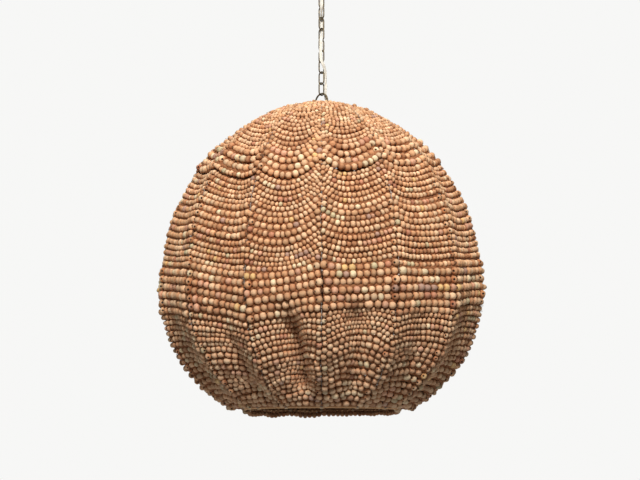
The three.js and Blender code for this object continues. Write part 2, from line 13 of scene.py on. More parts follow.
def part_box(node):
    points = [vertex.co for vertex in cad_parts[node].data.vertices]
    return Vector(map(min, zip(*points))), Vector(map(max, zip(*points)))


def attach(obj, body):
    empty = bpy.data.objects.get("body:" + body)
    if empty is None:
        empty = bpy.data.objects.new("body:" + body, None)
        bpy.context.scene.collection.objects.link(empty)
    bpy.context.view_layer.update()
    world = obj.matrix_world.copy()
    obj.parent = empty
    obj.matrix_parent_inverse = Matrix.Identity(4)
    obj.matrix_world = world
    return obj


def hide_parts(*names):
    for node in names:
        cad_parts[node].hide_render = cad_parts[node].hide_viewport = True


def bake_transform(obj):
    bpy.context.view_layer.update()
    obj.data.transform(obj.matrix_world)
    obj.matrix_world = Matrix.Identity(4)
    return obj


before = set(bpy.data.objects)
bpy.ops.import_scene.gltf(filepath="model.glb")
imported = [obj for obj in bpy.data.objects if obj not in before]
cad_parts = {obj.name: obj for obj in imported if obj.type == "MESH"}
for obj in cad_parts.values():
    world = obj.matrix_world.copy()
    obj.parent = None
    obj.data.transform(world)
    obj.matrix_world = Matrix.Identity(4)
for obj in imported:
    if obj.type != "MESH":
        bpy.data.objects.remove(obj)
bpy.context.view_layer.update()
rng = np.random.default_rng(41)
MM = 0.001

# The picture's frame, in pixels
FRAME_WIDTH = 640
FOCAL_PX = 1420
AXIS_OFFSET_PX = 1.5

# Shade form, as the ribs' outer faces run
RING_HEIGHT = -1087.3 * MM
SHADE_RADIUS = 366.5 * MM
CROWN_RISE = 442 * MM
SKIRT_DROP = 271 * MM
MOUTH_RADIUS = 180 * MM
SKIRT_FULLNESS = 2.12
WIDEST = RING_HEIGHT + SKIRT_DROP
RIB_COUNT = 14
RIB_ROD = 6 * MM

# Heights down the axis
FIRST_LINK = -83.9 * MM
LINK_PITCH = 26.9 * MM
LINK_COUNT = 10
LINK_HALF_INNER = 13.6 * MM
LOOP_TOP = -335.3 * MM
HUB_TOP = -371.3 * MM
CLUSTER_TOP = -629.3 * MM


def in_scene(name, data):
    obj = bpy.data.objects.new(name, data)
    bpy.context.scene.collection.objects.link(obj)
    return obj


# Camera
def make_camera():
    data = bpy.data.cameras.new("camera")
    data.sensor_width = 36
    data.lens = data.sensor_width * FOCAL_PX / FRAME_WIDTH
    data.clip_end = 100
    camera = in_scene("camera", data)
    distance = 3.3
    below_ring = 0.09
    pitch = math.radians(8.4)
    yaw = math.atan(AXIS_OFFSET_PX / FOCAL_PX)
    camera.location = (0, -distance, RING_HEIGHT - below_ring)
    camera.rotation_euler = (math.pi / 2 + pitch, 0, yaw)
    bpy.context.scene.camera = camera


make_camera()


# Mesh helpers
def new_object(name, points, faces, material):
    mesh = bpy.data.meshes.new(name)
    mesh.from_pydata([tuple(p) for p in points], [], [tuple(f) for f in faces])
    mesh.polygons.foreach_set("use_smooth", [True] * len(mesh.polygons))
    mesh.update()
    mesh.materials.append(material)
    return in_scene(name, mesh)


def place(obj, body, slot, *nodes):
    """The piece rides on its body and stands for the CAD nodes, which are hidden; slot is not used."""
    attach(obj, body)
    if nodes:
        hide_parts(*nodes)
    return obj


def grid_faces(rings, around, closed=False):
    faces = []
    last = rings if closed else rings - 1
    for i in range(last):
        for j in range(around):
            a, b = i * around + j, ((i + 1) % rings) * around + j
            over = (j + 1) % around - j
            faces.append((a, b, b + over, a + over))
    return faces


def lathe(profile, segments=64):
    """Points and faces turned about +Z from (radius, height) pairs that end on the axis or form a loop."""
    profile = np.array(profile, float)
    angles = np.linspace(0, 2 * np.pi, segments, endpoint=False)
    points, faces, rings = [], [], []
    for radius, height in profile:
        if radius < 1e-7:
            rings.append([len(points)])
            points.append((0, 0, height))
        else:
            rings.append(list(range(len(points), len(points) + segments)))
            points.extend((radius * math.cos(a), radius * math.sin(a), height) for a in angles)
    closes = len(rings[0]) > 1
    pairs = list(zip(rings, rings[1:])) + ([(rings[-1], rings[0])] if closes else [])
    for a, b in pairs:
        for j in range(segments):
            k = (j + 1) % segments
            corners = (a[j % len(a)], a[k % len(a)], b[k % len(b)], b[j % len(b)])
            face = tuple(dict.fromkeys(corners))
            if len(face) > 2:
                faces.append(face)
    return np.array(points), faces


def softened(profile, radius, closed=False, steps=3):
    """The profile with each corner rounded, so that edges catch light as turned metal does."""
    points = [np.array(p, float) for p in profile]
    count = len(points)
    out = []
    for i, p in enumerate(points):
        if not closed and i in (0, count - 1):
            out.append(tuple(p))
            continue
        before, after = points[i - 1], points[(i + 1) % count]
        a, b = before - p, after - p
        la, lb = np.linalg.norm(a), np.linalg.norm(b)
        cut = min(radius, la * 0.4, lb * 0.4)
        start, end = p + a / la * cut, p + b / lb * cut
        for s in np.linspace(0, 1, steps + 1):
            out.append(tuple((1 - s) ** 2 * start + 2 * s * (1 - s) * p + s * s * end))
    return out


def unit(vectors):
    return vectors / np.linalg.norm(vectors, axis=-1)[..., None]


def crosswise(vectors, along):
    """What is left of the vectors square to the unit directions along."""
    return vectors - along * (vectors * along).sum(-1)[..., None]


def around_axis(angle, radius, height):
    return np.stack([radius * np.cos(angle), radius * np.sin(angle), height + 0 * angle], -1)


def frames_along(path, closed=False):
    """Unit tangents and two crosswise directions that turn as little as they can."""
    path = np.asarray(path, float)
    if closed:
        ahead = np.roll(path, -1, 0) - np.roll(path, 1, 0)
    else:
        ahead = np.gradient(path, axis=0)
    tangent = unit(ahead)
    odd_way = (0.3, 0.2, 0.93)
    side = np.cross(tangent[0], odd_way)
    sides = []
    for t in tangent:
        side = side - t * (side @ t)
        side = side / np.linalg.norm(side)
        sides.append(side)
    sides = np.array(sides)
    return tangent, sides, np.cross(tangent, sides)


def tube(path, radius, sides=12, closed=False):
    """Points and faces of a round rod along the path, its ends closed with their own corners."""
    path = np.asarray(path, float)
    radii = np.broadcast_to(radius, len(path))
    tangent, a, b = frames_along(path, closed)
    turn = np.linspace(0, 2 * np.pi, sides, endpoint=False)
    ring = np.cos(turn)[None, :, None] * a[:, None] + np.sin(turn)[None, :, None] * b[:, None]
    points = (path[:, None] + radii[:, None, None] * ring).reshape(-1, 3)
    faces = [f[::-1] for f in grid_faces(len(path), sides, closed)]
    if closed:
        return points, faces
    base = len(points)
    points = np.vstack([points, points[:sides], points[base - sides:base]])
    faces.append(tuple(base + j for j in range(sides))[::-1])
    faces.append(tuple(base + sides + j for j in range(sides)))
    return points, faces


def joined(parts):
    """Several (points, faces) made into one."""
    points, faces, base = [], [], 0
    for p, f in parts:
        points.append(np.asarray(p, float))
        faces.extend(tuple(base + i for i in face) for face in f)
        base += len(p)
    return np.vstack(points), faces


def add_piece(name, parts, look, body, slot, *nodes):
    """One piece made of several (points, faces), placed."""
    points, faces = joined(parts)
    return place(new_object(name, points, faces, look), body, slot, *nodes)


# Materials
def colour(red, green, blue):
    """Linear colour from the usual 0 to 255 values."""
    def linear(value):
        value = value / 255
        return value / 12.92 if value <= 0.04045 else ((value + 0.055) / 1.055) ** 2.4
    return (linear(red), linear(green), linear(blue), 1)


def add_node(tree, kind, output, inputs, **settings):
    """The output of a new node, its inputs fed with values or with other nodes' outputs."""
    node = tree.nodes.new("ShaderNode" + kind)
    for key, value in settings.items():
        setattr(node, key, value)
    for key, value in inputs.items():
        if isinstance(value, bpy.types.NodeSocket):
            tree.links.new(value, node.inputs[key])
        else:
            node.inputs[key].default_value = value
    return node.outputs[output]


class Look:
    """A Principled material and short ways to add nodes to it."""

    def __init__(self, name, roughness=0.5, metallic=0.0, **sockets):
        self.material = bpy.data.materials.new(name)
        self.material.use_nodes = True
        self.tree = self.material.node_tree
        self.shader = self.tree.nodes["Principled BSDF"]
        self.shader.inputs["Roughness"].default_value = roughness
        self.shader.inputs["Metallic"].default_value = metallic
        for socket, value in sockets.items():
            self.shader.inputs[socket.replace("_", " ")].default_value = value
        self.place = self.node("TexCoord", "Object", {})

    def node(self, kind, output, inputs, **settings):
        return add_node(self.tree, kind, output, inputs, **settings)

    def noise(self, scale, detail=3.0, roughness=0.5):
        return self.node("TexNoise", "Fac", {
            "Scale": scale, "Detail": detail, "Roughness": roughness, "Vector": self.place})

    def cells(self, scale):
        return self.node("TexVoronoi", "Distance", {"Scale": scale, "Vector": self.place})

    def height(self):
        return self.node("SeparateXYZ", "Z", {"Vector": self.place})

    def attribute(self, name):
        return self.node("Attribute", "Fac", {}, attribute_name=name)

    def ramp(self, value, stops, constant=False):
        node = self.tree.nodes.new("ShaderNodeValToRGB")
        node.color_ramp.interpolation = "CONSTANT" if constant else "LINEAR"
        while len(node.color_ramp.elements) < len(stops):
            node.color_ramp.elements.new(0.5)
        for element, (position, shade) in zip(node.color_ramp.elements, stops):
            element.position = position
            element.color = shade
        self.tree.links.new(value, node.inputs["Fac"])
        return node.outputs["Color"]

    def levels(self, value, low, high, out_low=0.0, out_high=1.0):
        return self.node("MapRange", "Result", {
            "Value": value, "From Min": low, "From Max": high, "To Min": out_low, "To Max": out_high})

    def math(self, operation, a, b):
        return self.node("Math", "Value", {0: a, 1: b}, operation=operation)

    def mix(self, factor, a, b, blend="MIX"):
        """The colour output of a Mix node, whose sockets 6 and 7 take the two colours."""
        return self.node("Mix", 2, {0: factor, 6: a, 7: b}, data_type="RGBA", blend_type=blend)

    def finish(self, base, roughness=None, height=None, depth=0.0002, strength=0.5):
        self.tree.links.new(base, self.shader.inputs["Base Color"])
        if roughness is not None:
            self.tree.links.new(roughness, self.shader.inputs["Roughness"])
        if height is not None:
            normal = self.node("Bump", "Normal", {
                "Strength": strength, "Distance": depth, "Height": height})
            self.tree.links.new(normal, self.shader.inputs["Normal"])
        return self.material


# The clay's colours, and how often each comes up in the quiet bands and in the mixed ones
CLAY = [
    ((231, 187, 145), 0.30, 0.26),
    ((240, 203, 162), 0.18, 0.18),
    ((220, 172, 128), 0.25, 0.20),
    ((208, 156, 113), 0.14, 0.13),
    ((190, 136, 96), 0.045, 0.06),
    ((222, 170, 137), 0.035, 0.05),
    ((242, 220, 180), 0.02, 0.075),
    ((214, 198, 158), 0.008, 0.018),
    ((192, 156, 136), 0.01, 0.02),
    ((198, 138, 106), 0.012, 0.018),
    ((236, 196, 134), 0.006, 0.008),
]


def clay_look():
    look = Look("fired_clay", roughness=0.8, Specular_IOR_Level=0.3)
    stops = [(i / len(CLAY), colour(*entry[0])) for i, entry in enumerate(CLAY)]
    base = look.ramp(look.attribute("tint"), stops, constant=True)
    # Painted light: towards the bottom the clay is mixed towards a paler, greyer colour, standing in for
    # the whiter light that falls on the skirt.
    painted_skirt_light = look.levels(look.height(), -0.8, -1.05, 0, 0.3)
    base = look.mix(painted_skirt_light, base, colour(208, 182, 158))
    lightness = look.levels(look.attribute("shade"), 0, 1, 0.72, 1.16)
    base = look.mix(1.0, base, lightness, "MULTIPLY")
    blotches = look.ramp(look.noise(210, 3), [(0.3, (0.86, 0.82, 0.78, 1)), (0.62, (1.06, 1.06, 1.05, 1))])
    base = look.mix(1.0, base, blotches, "MULTIPLY")
    specks = look.levels(look.noise(1500, 2, 0.7), 0.62, 0.72)
    base = look.mix(look.math("MULTIPLY", specks, 0.35), base, colour(120, 74, 48))
    # Painted shade: where a bead faces or touches its neighbours it is darkened to a saturated brown,
    # standing in for the shade between beads.
    painted_shade = look.mix(1.0, base, (0.6, 0.3, 0.12, 1), "MULTIPLY")
    base = look.mix(look.math("MULTIPLY", look.attribute("crevice_shade"), 0.62), base, painted_shade)
    # Painted shade: the end of the bore is painted near black, standing in for the shade inside the hole.
    base = look.mix(look.attribute("bore"), base, colour(38, 24, 16))
    grain = look.math("ADD", look.noise(900, 3), look.math("MULTIPLY", look.cells(420), 0.5))
    rough = look.levels(look.noise(300, 2), 0.3, 0.7, 0.70, 0.92)
    return look.finish(base, rough, grain, depth=0.0004, strength=0.35)


def worked_look(name, roughness, first, second, patches, gloss, grain, depth, strength, **sockets):
    """A look in two colours. patches holds the noise that mixes them and its levels, gloss the noise that
    varies the roughness and its range, and grain the noise of the bump."""
    look = Look(name, roughness=roughness, **sockets)
    patched = look.levels(look.noise(*patches[0]), *patches[1])
    base = look.mix(patched, colour(*first), colour(*second))
    rough = look.levels(look.noise(*gloss[0]), 0.3, 0.7, *gloss[1])
    return look.finish(base, rough, look.noise(*grain), depth=depth, strength=strength)


def metal_look(name, light, dark, roughness, metallic=0.9, scale=160):
    gloss = ((scale * 2.3, 4), (roughness - 0.1, roughness + 0.14))
    return worked_look(name, roughness, dark, light, ((scale, 5, 0.6), (0.35, 0.68)), gloss, (scale * 4, 3),
                       0.0001, 0.25, metallic=metallic)


def thread_look(name, dark, light):
    return worked_look(name, 0.9, dark, light, ((420, 3), (0.35, 0.65)), ((300, 2), (0.8, 0.98)), (2500, 2),
                       0.0002, 0.6)


CLAY_LOOK = clay_look()
ANTIQUE = metal_look("antique_metal", (128, 114, 86), (66, 57, 42), 0.5)
CANOPY = metal_look("canopy_metal", (134, 119, 90), (84, 72, 52), 0.46, scale=45)
DARK_STEEL = metal_look("dark_steel", (92, 80, 68), (52, 44, 38), 0.55, metallic=0.6)
BRIGHT = metal_look("bright_metal", (206, 200, 186), (150, 144, 130), 0.32)
CORD = worked_look("cord_plastic", 0.42, (238, 235, 222), (198, 188, 166),
                   ((60, 4), (0.4, 0.75, 0, 0.35)), ((240, 3), (0.34, 0.52)), (700, 2), 0.0001, 0.2)
PLASTIC = worked_look("dark_plastic", 0.45, (44, 37, 32), (60, 50, 43),
                      ((90, 4), (0.35, 0.7)), ((260, 3), (0.36, 0.55)), (800, 2), 0.0001, 0.2)
GLASS = worked_look("frosted_glass", 0.25, (238, 232, 220), (248, 244, 235),
                    ((40, 3), (0.3, 0.7)), ((500, 3), (0.2, 0.34)), (1200, 2), 0.00005, 0.15,
                    Specular_IOR_Level=0.5)
THREAD = thread_look("thread", (126, 116, 106), (206, 198, 188))
STRAND = thread_look("strand", (96, 64, 42), (132, 94, 64))
# Painted shade: dark brown tubes between the rows stand in for the shaded inside that shows between them.
GAP_SHADE = thread_look("painted_gap_shade", (128, 80, 46), (164, 108, 68))
TAN_THREAD = thread_look("tan_thread", (206, 170, 132), (240, 214, 180))
WRAP = worked_look("wrapped_cord", 0.8, (218, 164, 112), (244, 200, 150),
                   ((260, 4), (0.3, 0.7)), ((300, 2), (0.7, 0.9)), (1500, 3), 0.0003, 0.6)

# Twin lamp cord: points of its route and the way its broad side faces, as in the solid, in millimetres
CORD_ROUTE = [
    (4, -20.5, -6, 1, 0, 0), (4, -20.5, -22, 1, 0, 0), (4, -20.5, -38, 1, 0, 0), (3.6, -17.6, -56, 1, 0, 0),
    (2.6, -12.4, -76, 1, 0, 0), (1.6, -9.8, -94, 1, 0, 0), (0.8, -9.4, -112, 1, 0.1, 0),
    (0.2, -8.4, -126, 0.6, 0, 0.8), (0, 0, -137.7, 0, 0, 1), (0, 8.4, -149, -0.6, 0, 0.8),
    (0, 9.4, -164.6, -1, 0, 0), (0, 8.4, -180, -0.6, 0, -0.8), (0, 0, -191.5, 0, 0, -1),
    (-0.6, -8.4, -203, 0.6, 0, -0.8), (-1.2, -9.4, -218, 1, 0, 0), (-1.8, -9.4, -236, 1, 0, 0),
    (-0.6, -9.3, -256, 1, 0, 0), (3.8, -8.4, -267, 0.9, 0.4, 0), (7.6, -4.4, -277, 0.7, 0.7, 0),
    (9.6, -0.6, -290, 0.5, 0.8, 0), (10, 0, -308, 0.3, 1, 0), (9.8, 0, -326, 0.5, -0.8, 0),
    (9.6, 0, -343, 0.7, -0.7, 0), (11.6, 0, -358, 0.3, -1, 0),
] + [(13.2, 0, height, 0, -1, 0) for height in (-372, -392, -440, -510, -570, -600, -629)]
CORD_LOBE = 2 * MM
CORD_SPREAD = 1.8 * MM
CORD_WEB = 1.0 * MM
CORD_STEP = 1.2 * MM
LOBE_SWEEP = 125
LOBE_POINTS = 11


def cord_path():
    """Close points along the route, with the broad side's direction at each."""
    points = np.array(CORD_ROUTE)[:, :3] * MM
    across = np.array(CORD_ROUTE)[:, 3:]
    padded = np.vstack([2 * points[0] - points[1], points, 2 * points[-1] - points[-2]])
    path, sides = [], []
    for i in range(len(points) - 1):
        before, start, end, after = padded[i:i + 4]
        pairs = ((before, start), (start, end), (end, after))
        near, here, far = (max(np.linalg.norm(b - a), 1e-6) ** 0.5 for a, b in pairs)
        leave = here * ((start - before) / near - (end - before) / (near + here) + (end - start) / here)
        arrive = here * ((end - start) / here - (after - start) / (here + far) + (after - end) / far)
        steps = max(4, round(np.linalg.norm(end - start) / CORD_STEP))
        for t in np.arange(steps) / steps:
            path.append((2 * t**3 - 3 * t**2 + 1) * start + (t**3 - 2 * t**2 + t) * leave
                        + (3 * t**2 - 2 * t**3) * end + (t**3 - t**2) * arrive)
            sides.append((1 - t) * across[i] + t * across[i + 1])
    return np.array(path + [points[-1]]), np.array(sides + [across[-1]])


def make_cord():
    """The cord in lengths that meet in the middle of each link; the last length rides on the shade."""
    path, across = cord_path()
    tangent = unit(np.gradient(path, axis=0))
    across = unit(crosswise(across, tangent))
    depth = np.cross(tangent, across)
    lobe = np.radians(np.linspace(-LOBE_SWEEP, LOBE_SWEEP, LOBE_POINTS))
    right = np.stack([CORD_SPREAD + CORD_LOBE * np.cos(lobe), CORD_LOBE * np.sin(lobe)], 1)
    section = np.vstack([right, [(0, CORD_WEB)], -right, [(0, -CORD_WEB)]])
    skin = path[:, None] + section[None, :, :1] * across[:, None] + section[None, :, 1:] * depth[:, None]
    pivots = [FIRST_LINK + LINK_HALF_INNER]
    pivots += [FIRST_LINK - LINK_PITCH * (i + 0.5) for i in range(LINK_COUNT)]
    middles = [int(np.argmin(np.abs(path[:, 2] - (pivot - LINK_PITCH / 2)))) for pivot in pivots]
    cuts = [0] + middles + [len(path) - 1]
    around = len(section)
    for i, (first, last) in enumerate(zip(cuts, cuts[1:])):
        rings = skin[first:last + 1]
        faces = [f[::-1] for f in grid_faces(len(rings), around)]
        count = len(rings) * around
        caps = [tuple(range(around)), tuple(range(count - around, count))[::-1]]
        piece = new_object(f"cord_{i:02d}", rings.reshape(-1, 3), faces + caps, CORD)
        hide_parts("lamp_cord")
        if i < len(pivots):
            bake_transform(piece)
        else:
            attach(piece, "shade")


make_cord()


# Ceiling fittings, chain and loops
SEAT_GAP = 0.3 * MM


def turned(profile, soften, segments):
    """Points and faces turned from (radius, height) pairs in millimetres, with softened corners."""
    profile = [(r * MM, z * MM) for r, z in profile]
    closed = profile[0][0] > 0
    return lathe(softened(profile, soften * MM, closed), segments)


def moved(points, matrix):
    return points @ np.array(matrix.to_3x3().transposed()) + np.array(matrix.translation)


def turned_piece(name, body, slot, look, profile, nodes, segments, soften, at=(0, 0, 0), matrix=None):
    """A piece turned from (radius, height) pairs in millimetres, then shifted or put where matrix says."""
    points, faces = turned(profile, soften, segments)
    points = points + np.array(at) * MM
    if matrix is not None:
        points = moved(points, matrix)
    return add_piece(name, [(points, faces)], look, body, slot, *nodes)


def loop_wire(bend, leg, sides_of_bend=20):
    """Closed path of a link in the XZ plane: two round ends joined by straight legs."""
    path = []
    for end in (1, -1):
        for angle in np.linspace(0, np.pi, sides_of_bend) + (0 if end > 0 else np.pi):
            path.append((bend * math.cos(angle), 0, end * leg / 2 + bend * math.sin(angle)))
        if leg > 0:
            x = -end * bend
            path.extend((x, 0, end * leg * s) for s in np.linspace(0.42, -0.42, 9))
    return np.array(path)


def turn_about_axis(points, degrees, height):
    angle = math.radians(degrees)
    cos, sin = math.cos(angle), math.sin(angle)
    x = points[:, 0] * cos - points[:, 1] * sin
    y = points[:, 0] * sin + points[:, 1] * cos
    return np.stack([x, y, points[:, 2] + height], 1)


def make_chain():
    """Links at right angles to their neighbours, each with a swollen weld on one leg."""
    bend = 7.9 * MM
    wire = 3.2 * MM
    weld_length = 1.1 * MM
    weld_swell = 0.14
    path = loop_wire(bend, LINK_HALF_INNER * 2 + wire - 2 * bend)
    weld = np.exp(-((path[:, 2] / weld_length) ** 2)) * (path[:, 0] < 0)
    link, faces = tube(path, wire / 2 * (1 + weld_swell * weld), 16, closed=True)
    for i in range(1, LINK_COUNT + 1):
        points = turn_about_axis(link, 45 + 90 * i, FIRST_LINK - (i - 1) * LINK_PITCH)
        add_piece(f"link_wire_{i:02d}", [(points, faces)], ANTIQUE, f"link_{i:02d}", "antique_metal",
                  f"chain_link_{i:02d}")


def make_shade_loop():
    half = 20 * MM
    wire = 2 * MM
    legs = LOOP_TOP - HUB_TOP - wire - half
    arch = [(half * math.cos(a), 0, legs + half * math.sin(a)) for a in np.linspace(np.pi, 0, 40)]
    path = [(-half, 0, SEAT_GAP), (-half, 0, legs / 2)] + arch + [(half, 0, legs / 2), (half, 0, SEAT_GAP)]
    points, faces = tube(path, wire, 18)
    points = turn_about_axis(points, 135, HUB_TOP)
    add_piece("crown_loop", [(points, faces)], ANTIQUE, "shade", "antique_metal", "shade_loop")


def make_canopy():
    dish = [(31 + 34 * math.cos(a), -5 - 27 * math.sin(a)) for a in np.linspace(0, np.pi / 2, 20)]
    rolled = [(65, 0), (65.6, -0.7), (65.6, -2.2), (65, -3.4)]
    inner = [(r - 1.5, z + 1.5) for r, z in dish][::-1]
    profile = rolled + dish + [(22, -32.4), (20, -32), (5.4, -32), (5.4, -30.5)] + inner + [(63.5, 0)]
    canopy = turned_piece("canopy_dish", "ceiling_set", "antique_metal", CANOPY, profile,
                          ["ceiling_canopy"], 128, 0.4)
    points, faces = lathe([(0, -20 * MM), (5.5 * MM, -20 * MM), (5.5 * MM, -45 * MM), (0, -45 * MM)], 32)
    cutter = new_object("cord_cutter", points + np.array((4, -20.5, 0)) * MM, faces, CANOPY)
    cut = canopy.modifiers.new("cut", "BOOLEAN")
    cut.operation = "DIFFERENCE"
    cut.object = cutter
    cut.solver = "EXACT"
    bpy.context.view_layer.update()
    shaped = bpy.data.meshes.new_from_object(canopy.evaluated_get(bpy.context.evaluated_depsgraph_get()))
    canopy.modifiers.clear()
    canopy.data = shaped
    bpy.data.objects.remove(cutter)
    turned_piece("bushing", "ceiling_set", "dark_plastic", PLASTIC, [
        (4.3, -28.8), (4.3, -33.7), (7.4, -33.7), (7.4, -32.3), (5.2, -32.3), (5.2, -30.2), (7.4, -30.2),
        (7.4, -28.8),
    ], ["cord_bushing"], 40, 0.5, at=(4, -20.5, 0))
    turned_piece("collar_ring", "ceiling_set", "antique_metal", ANTIQUE, [
        (5.4, -32.3), (5.4, -40.3), (10, -40.3), (11.4, -38.9), (11.4, -37.4), (10.9, -37), (10.9, -35.6),
        (11.4, -35.2), (11.4, -33.7), (10, -32.3),
    ], ["canopy_collar"], 64, 0.4)
    base = turned([(0, -49.6), (5.4, -49.6), (5.4, -40.6), (8, -40.6), (8, -49.6), (5, -52.6), (0, -52.6)],
                  0.6, 48)
    ring, faces = tube(loop_wire(10 * MM, 0, 33)[:-1], 2 * MM, 18, closed=True)
    ring = turn_about_axis(ring, 45, -62.6 * MM)
    add_piece("canopy_eye", [base, (ring, faces)], ANTIQUE, "ceiling_set", "antique_metal", "canopy_loop")


def screw_profile(radius, top, bottom, pitch, depth):
    """Side of a threaded shank from top to bottom, as (radius, height) pairs."""
    side = []
    for crest in np.arange(top, bottom, -pitch):
        side += [(radius - depth, crest), (radius, crest - pitch * 0.35), (radius, crest - pitch * 0.5)]
    return side


def make_fastenings():
    for name, x in (("left", -44), ("right", 44)):
        profile = [(0, 0), (1.4, 0)] + screw_profile(2.1, -0.2, -2.1, 0.6, 0.35) + [
            (2.1, -2.3), (4, -2.3), (4, -3.4), (3.2, -4.5), (2, -4.9), (0, -4.9)]
        turned_piece(f"screw_{name}", "ceiling_set", "bright_metal", BRIGHT, profile,
                     [f"strap_screw_{name}"], 32, 0.15, at=(x, 0, 0))
    stud = [(0, 0), (4.4, 0)] + screw_profile(5, -0.4, -48.2, 1.25, 0.7) + [(4.4, -49.3), (0, -49.3)]
    turned_piece("stud_rod", "ceiling_set", "dark_steel", DARK_STEEL, stud, ["ceiling_stud"], 40, 0.15)


make_chain()
make_shade_loop()
make_canopy()
make_fastenings()


# Lamps inside the shade
def make_lamps():
    """The stem, the cluster with three arms that point out and down, and a holder and bulb on each arm."""
    top = CLUSTER_TOP / MM
    tilt = math.radians(38)
    turned_piece("stem_tube", "shade", "antique_metal", ANTIQUE, [
        (5, -364), (5, top + 0.3), (3.5, top + 0.3), (3.5, -364)], ["lamp_stem"], 40, 0.3)
    body = [(0, 0), (24, 0), (30, 6), (30, 12), (29, 13), (29, 21), (30, 22), (30, 28), (24, 34), (0, 34)]
    arm = [(0, 8), (6.5, 8), (6.5, 34), (8.2, 34.6), (8.2, 38), (6.5, 38.6), (6.5, 42), (0, 42)]
    parts = [turned([(r, top - z) for r, z in body], 1.2, 96)]
    lamps = []
    for i in range(3):
        outward = math.radians(-90 + 120 * i)
        way = (math.cos(tilt) * math.cos(outward), math.cos(tilt) * math.sin(outward), -math.sin(tilt))
        facing = Vector(way).to_track_quat("Z", "Y").to_matrix().to_4x4()
        lamp = Matrix.Translation((0, 0, CLUSTER_TOP - 17 * MM)) @ facing
        points, faces = turned(arm, 0.5, 40)
        parts.append((moved(points, lamp), faces))
        lamps.append(lamp)
    add_piece("cluster_body", parts, ANTIQUE, "shade", "antique_metal", "lamp_cluster")
    turned_piece("finial", "shade", "antique_metal", ANTIQUE, [(r, top - 34.3 - z) for r, z in [
        (0, 0), (4, 0), (4, 3), (5.2, 3.6), (4, 4.4), (4, 5.2), (6.6, 7), (8, 10), (7.6, 13), (6, 16.4),
        (3, 19), (0, 20)]], ["cluster_finial"], 64, 0.5)
    for i, lamp in enumerate(lamps, 1):
        turned_piece(f"holder_{i}", "shade", "dark_plastic", PLASTIC, [
            (0, 42.3), (13, 42.3), (18.5, 48.3), (18.5, 58), (17.9, 58.6), (17.9, 59.8), (18.5, 60.4),
            (18.5, 70), (17.9, 70.6), (17.9, 71.8), (18.5, 72.4), (18.5, 75.6), (20, 75.6), (20, 80.6),
            (13.4, 80.6), (13.4, 48.3), (0, 48.3)], [f"lamp_holder_{i}"], 64, 0.6, matrix=lamp)
        thread = []
        for crest in np.arange(53.6, 74, 3.6):
            thread += [(12.2, crest), (13, crest + 1.1), (13, crest + 1.9), (12.2, crest + 3)]
        contact = [(0, 48.6), (3.2, 48.6), (4.5, 50), (4.5, 50.8), (11.6, 52.6)]
        rim = [(12.6, 76.5), (13, 77), (13, 78.6), (0, 78.6)]
        turned_piece(f"bulb_{i}_cap", f"bulb_{i}", "bright_metal", BRIGHT, contact + thread + rim,
                     [f"bulb_cap_{i}"], 48, 0.4, matrix=lamp)
        neck = [(0, 78.9), (12.2, 78.9), (12.4, 82), (15, 93), (20, 104), (25.3, 115), (28.6, 123.5)]
        ball = [(30 * math.cos(a), 132.9 + 30 * math.sin(a)) for a in np.linspace(-0.12, np.pi / 2, 22)]
        turned_piece(f"bulb_{i}_glass", f"bulb_{i}", "bulb_glass", GLASS, neck + ball[:-1] + [(0, 162.9)],
                     [f"bulb_glass_{i}"], 64, 0.3, matrix=lamp)


make_lamps()


# Solids whose shape is already right take a worked finish
for name, look in (("mounting_strap", DARK_STEEL), ("top_hub", DARK_STEEL), ("hub_lock_nut", ANTIQUE)):
    for material_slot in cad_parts[name].material_slots:
        material_slot.material = look


# The shade's surface
SKIRT_REACH = SKIRT_DROP / (1 - (MOUTH_RADIUS / SHADE_RADIUS) ** SKIRT_FULLNESS) ** (1 / SKIRT_FULLNESS)
OUTLINE_STEPS = 1600

# How far the rows hang off the ribs' line in mid-panel, as shares of the rib's arc:
# place along the arc, slide down the arc (negative is up), and depth of the fold
SWAG_SHARES = np.array([
    (0, 0, 0), (0.034, 0, 0.001), (0.132, 0.010, 0.005), (0.233, 0.022, 0.009), (0.307, 0.0315, 0.012),
    (0.38, 0.0355, 0.013), (0.467, 0.028, 0.013), (0.547, 0.0225, 0.012), (0.605, 0.014, 0.012),
    (0.642, 0.006, 0.012), (0.69, 0, 0.014), (0.744, -0.016, 0.019), (0.792, -0.024, 0.025),
    (0.862, -0.024, 0.029), (0.923, -0.013, 0.020), (0.974, -0.001, 0.006), (1, 0, 0.003),
])


def make_outline():
    t = np.linspace(0, 2, OUTLINE_STEPS + 1)
    turn = (1 - np.minimum(t, 1)) * np.pi / 2
    drop = np.maximum(t - 1, 0) * SKIRT_DROP
    lower = SHADE_RADIUS * (1 - (drop / SKIRT_REACH) ** SKIRT_FULLNESS) ** (1 / SKIRT_FULLNESS)
    radius = np.where(t <= 1, SHADE_RADIUS * np.cos(turn), lower)
    height = np.where(t <= 1, CROWN_RISE * np.sin(turn), -drop)
    arc = np.concatenate([[0], np.cumsum(np.hypot(np.diff(radius), np.diff(height)))])
    slope_r, slope_z = np.gradient(radius, arc), np.gradient(height, arc)
    size = np.hypot(slope_r, slope_z)
    return arc, radius, height, -slope_z / size, slope_r / size


OUTLINE = make_outline()
ARC_LENGTH = OUTLINE[0][-1]


def on_shade(arc, angle, lift):
    """Points and outward normals of the shade at lengths along a rib, angles about the axis and lifts."""
    radius, height, out_r, out_z = (np.interp(arc, OUTLINE[0], column) for column in OUTLINE[1:])
    points = around_axis(angle, radius + out_r * lift, WIDEST + height + out_z * lift)
    return points, around_axis(angle, out_r, out_z)


def rib_angle(rib):
    return -np.pi / 2 + rib * 2 * np.pi / RIB_COUNT


def panel_angles(panel, u):
    """Angles about the axis at shares u of the panel's width."""
    return rib_angle(panel) + u * 2 * np.pi / RIB_COUNT


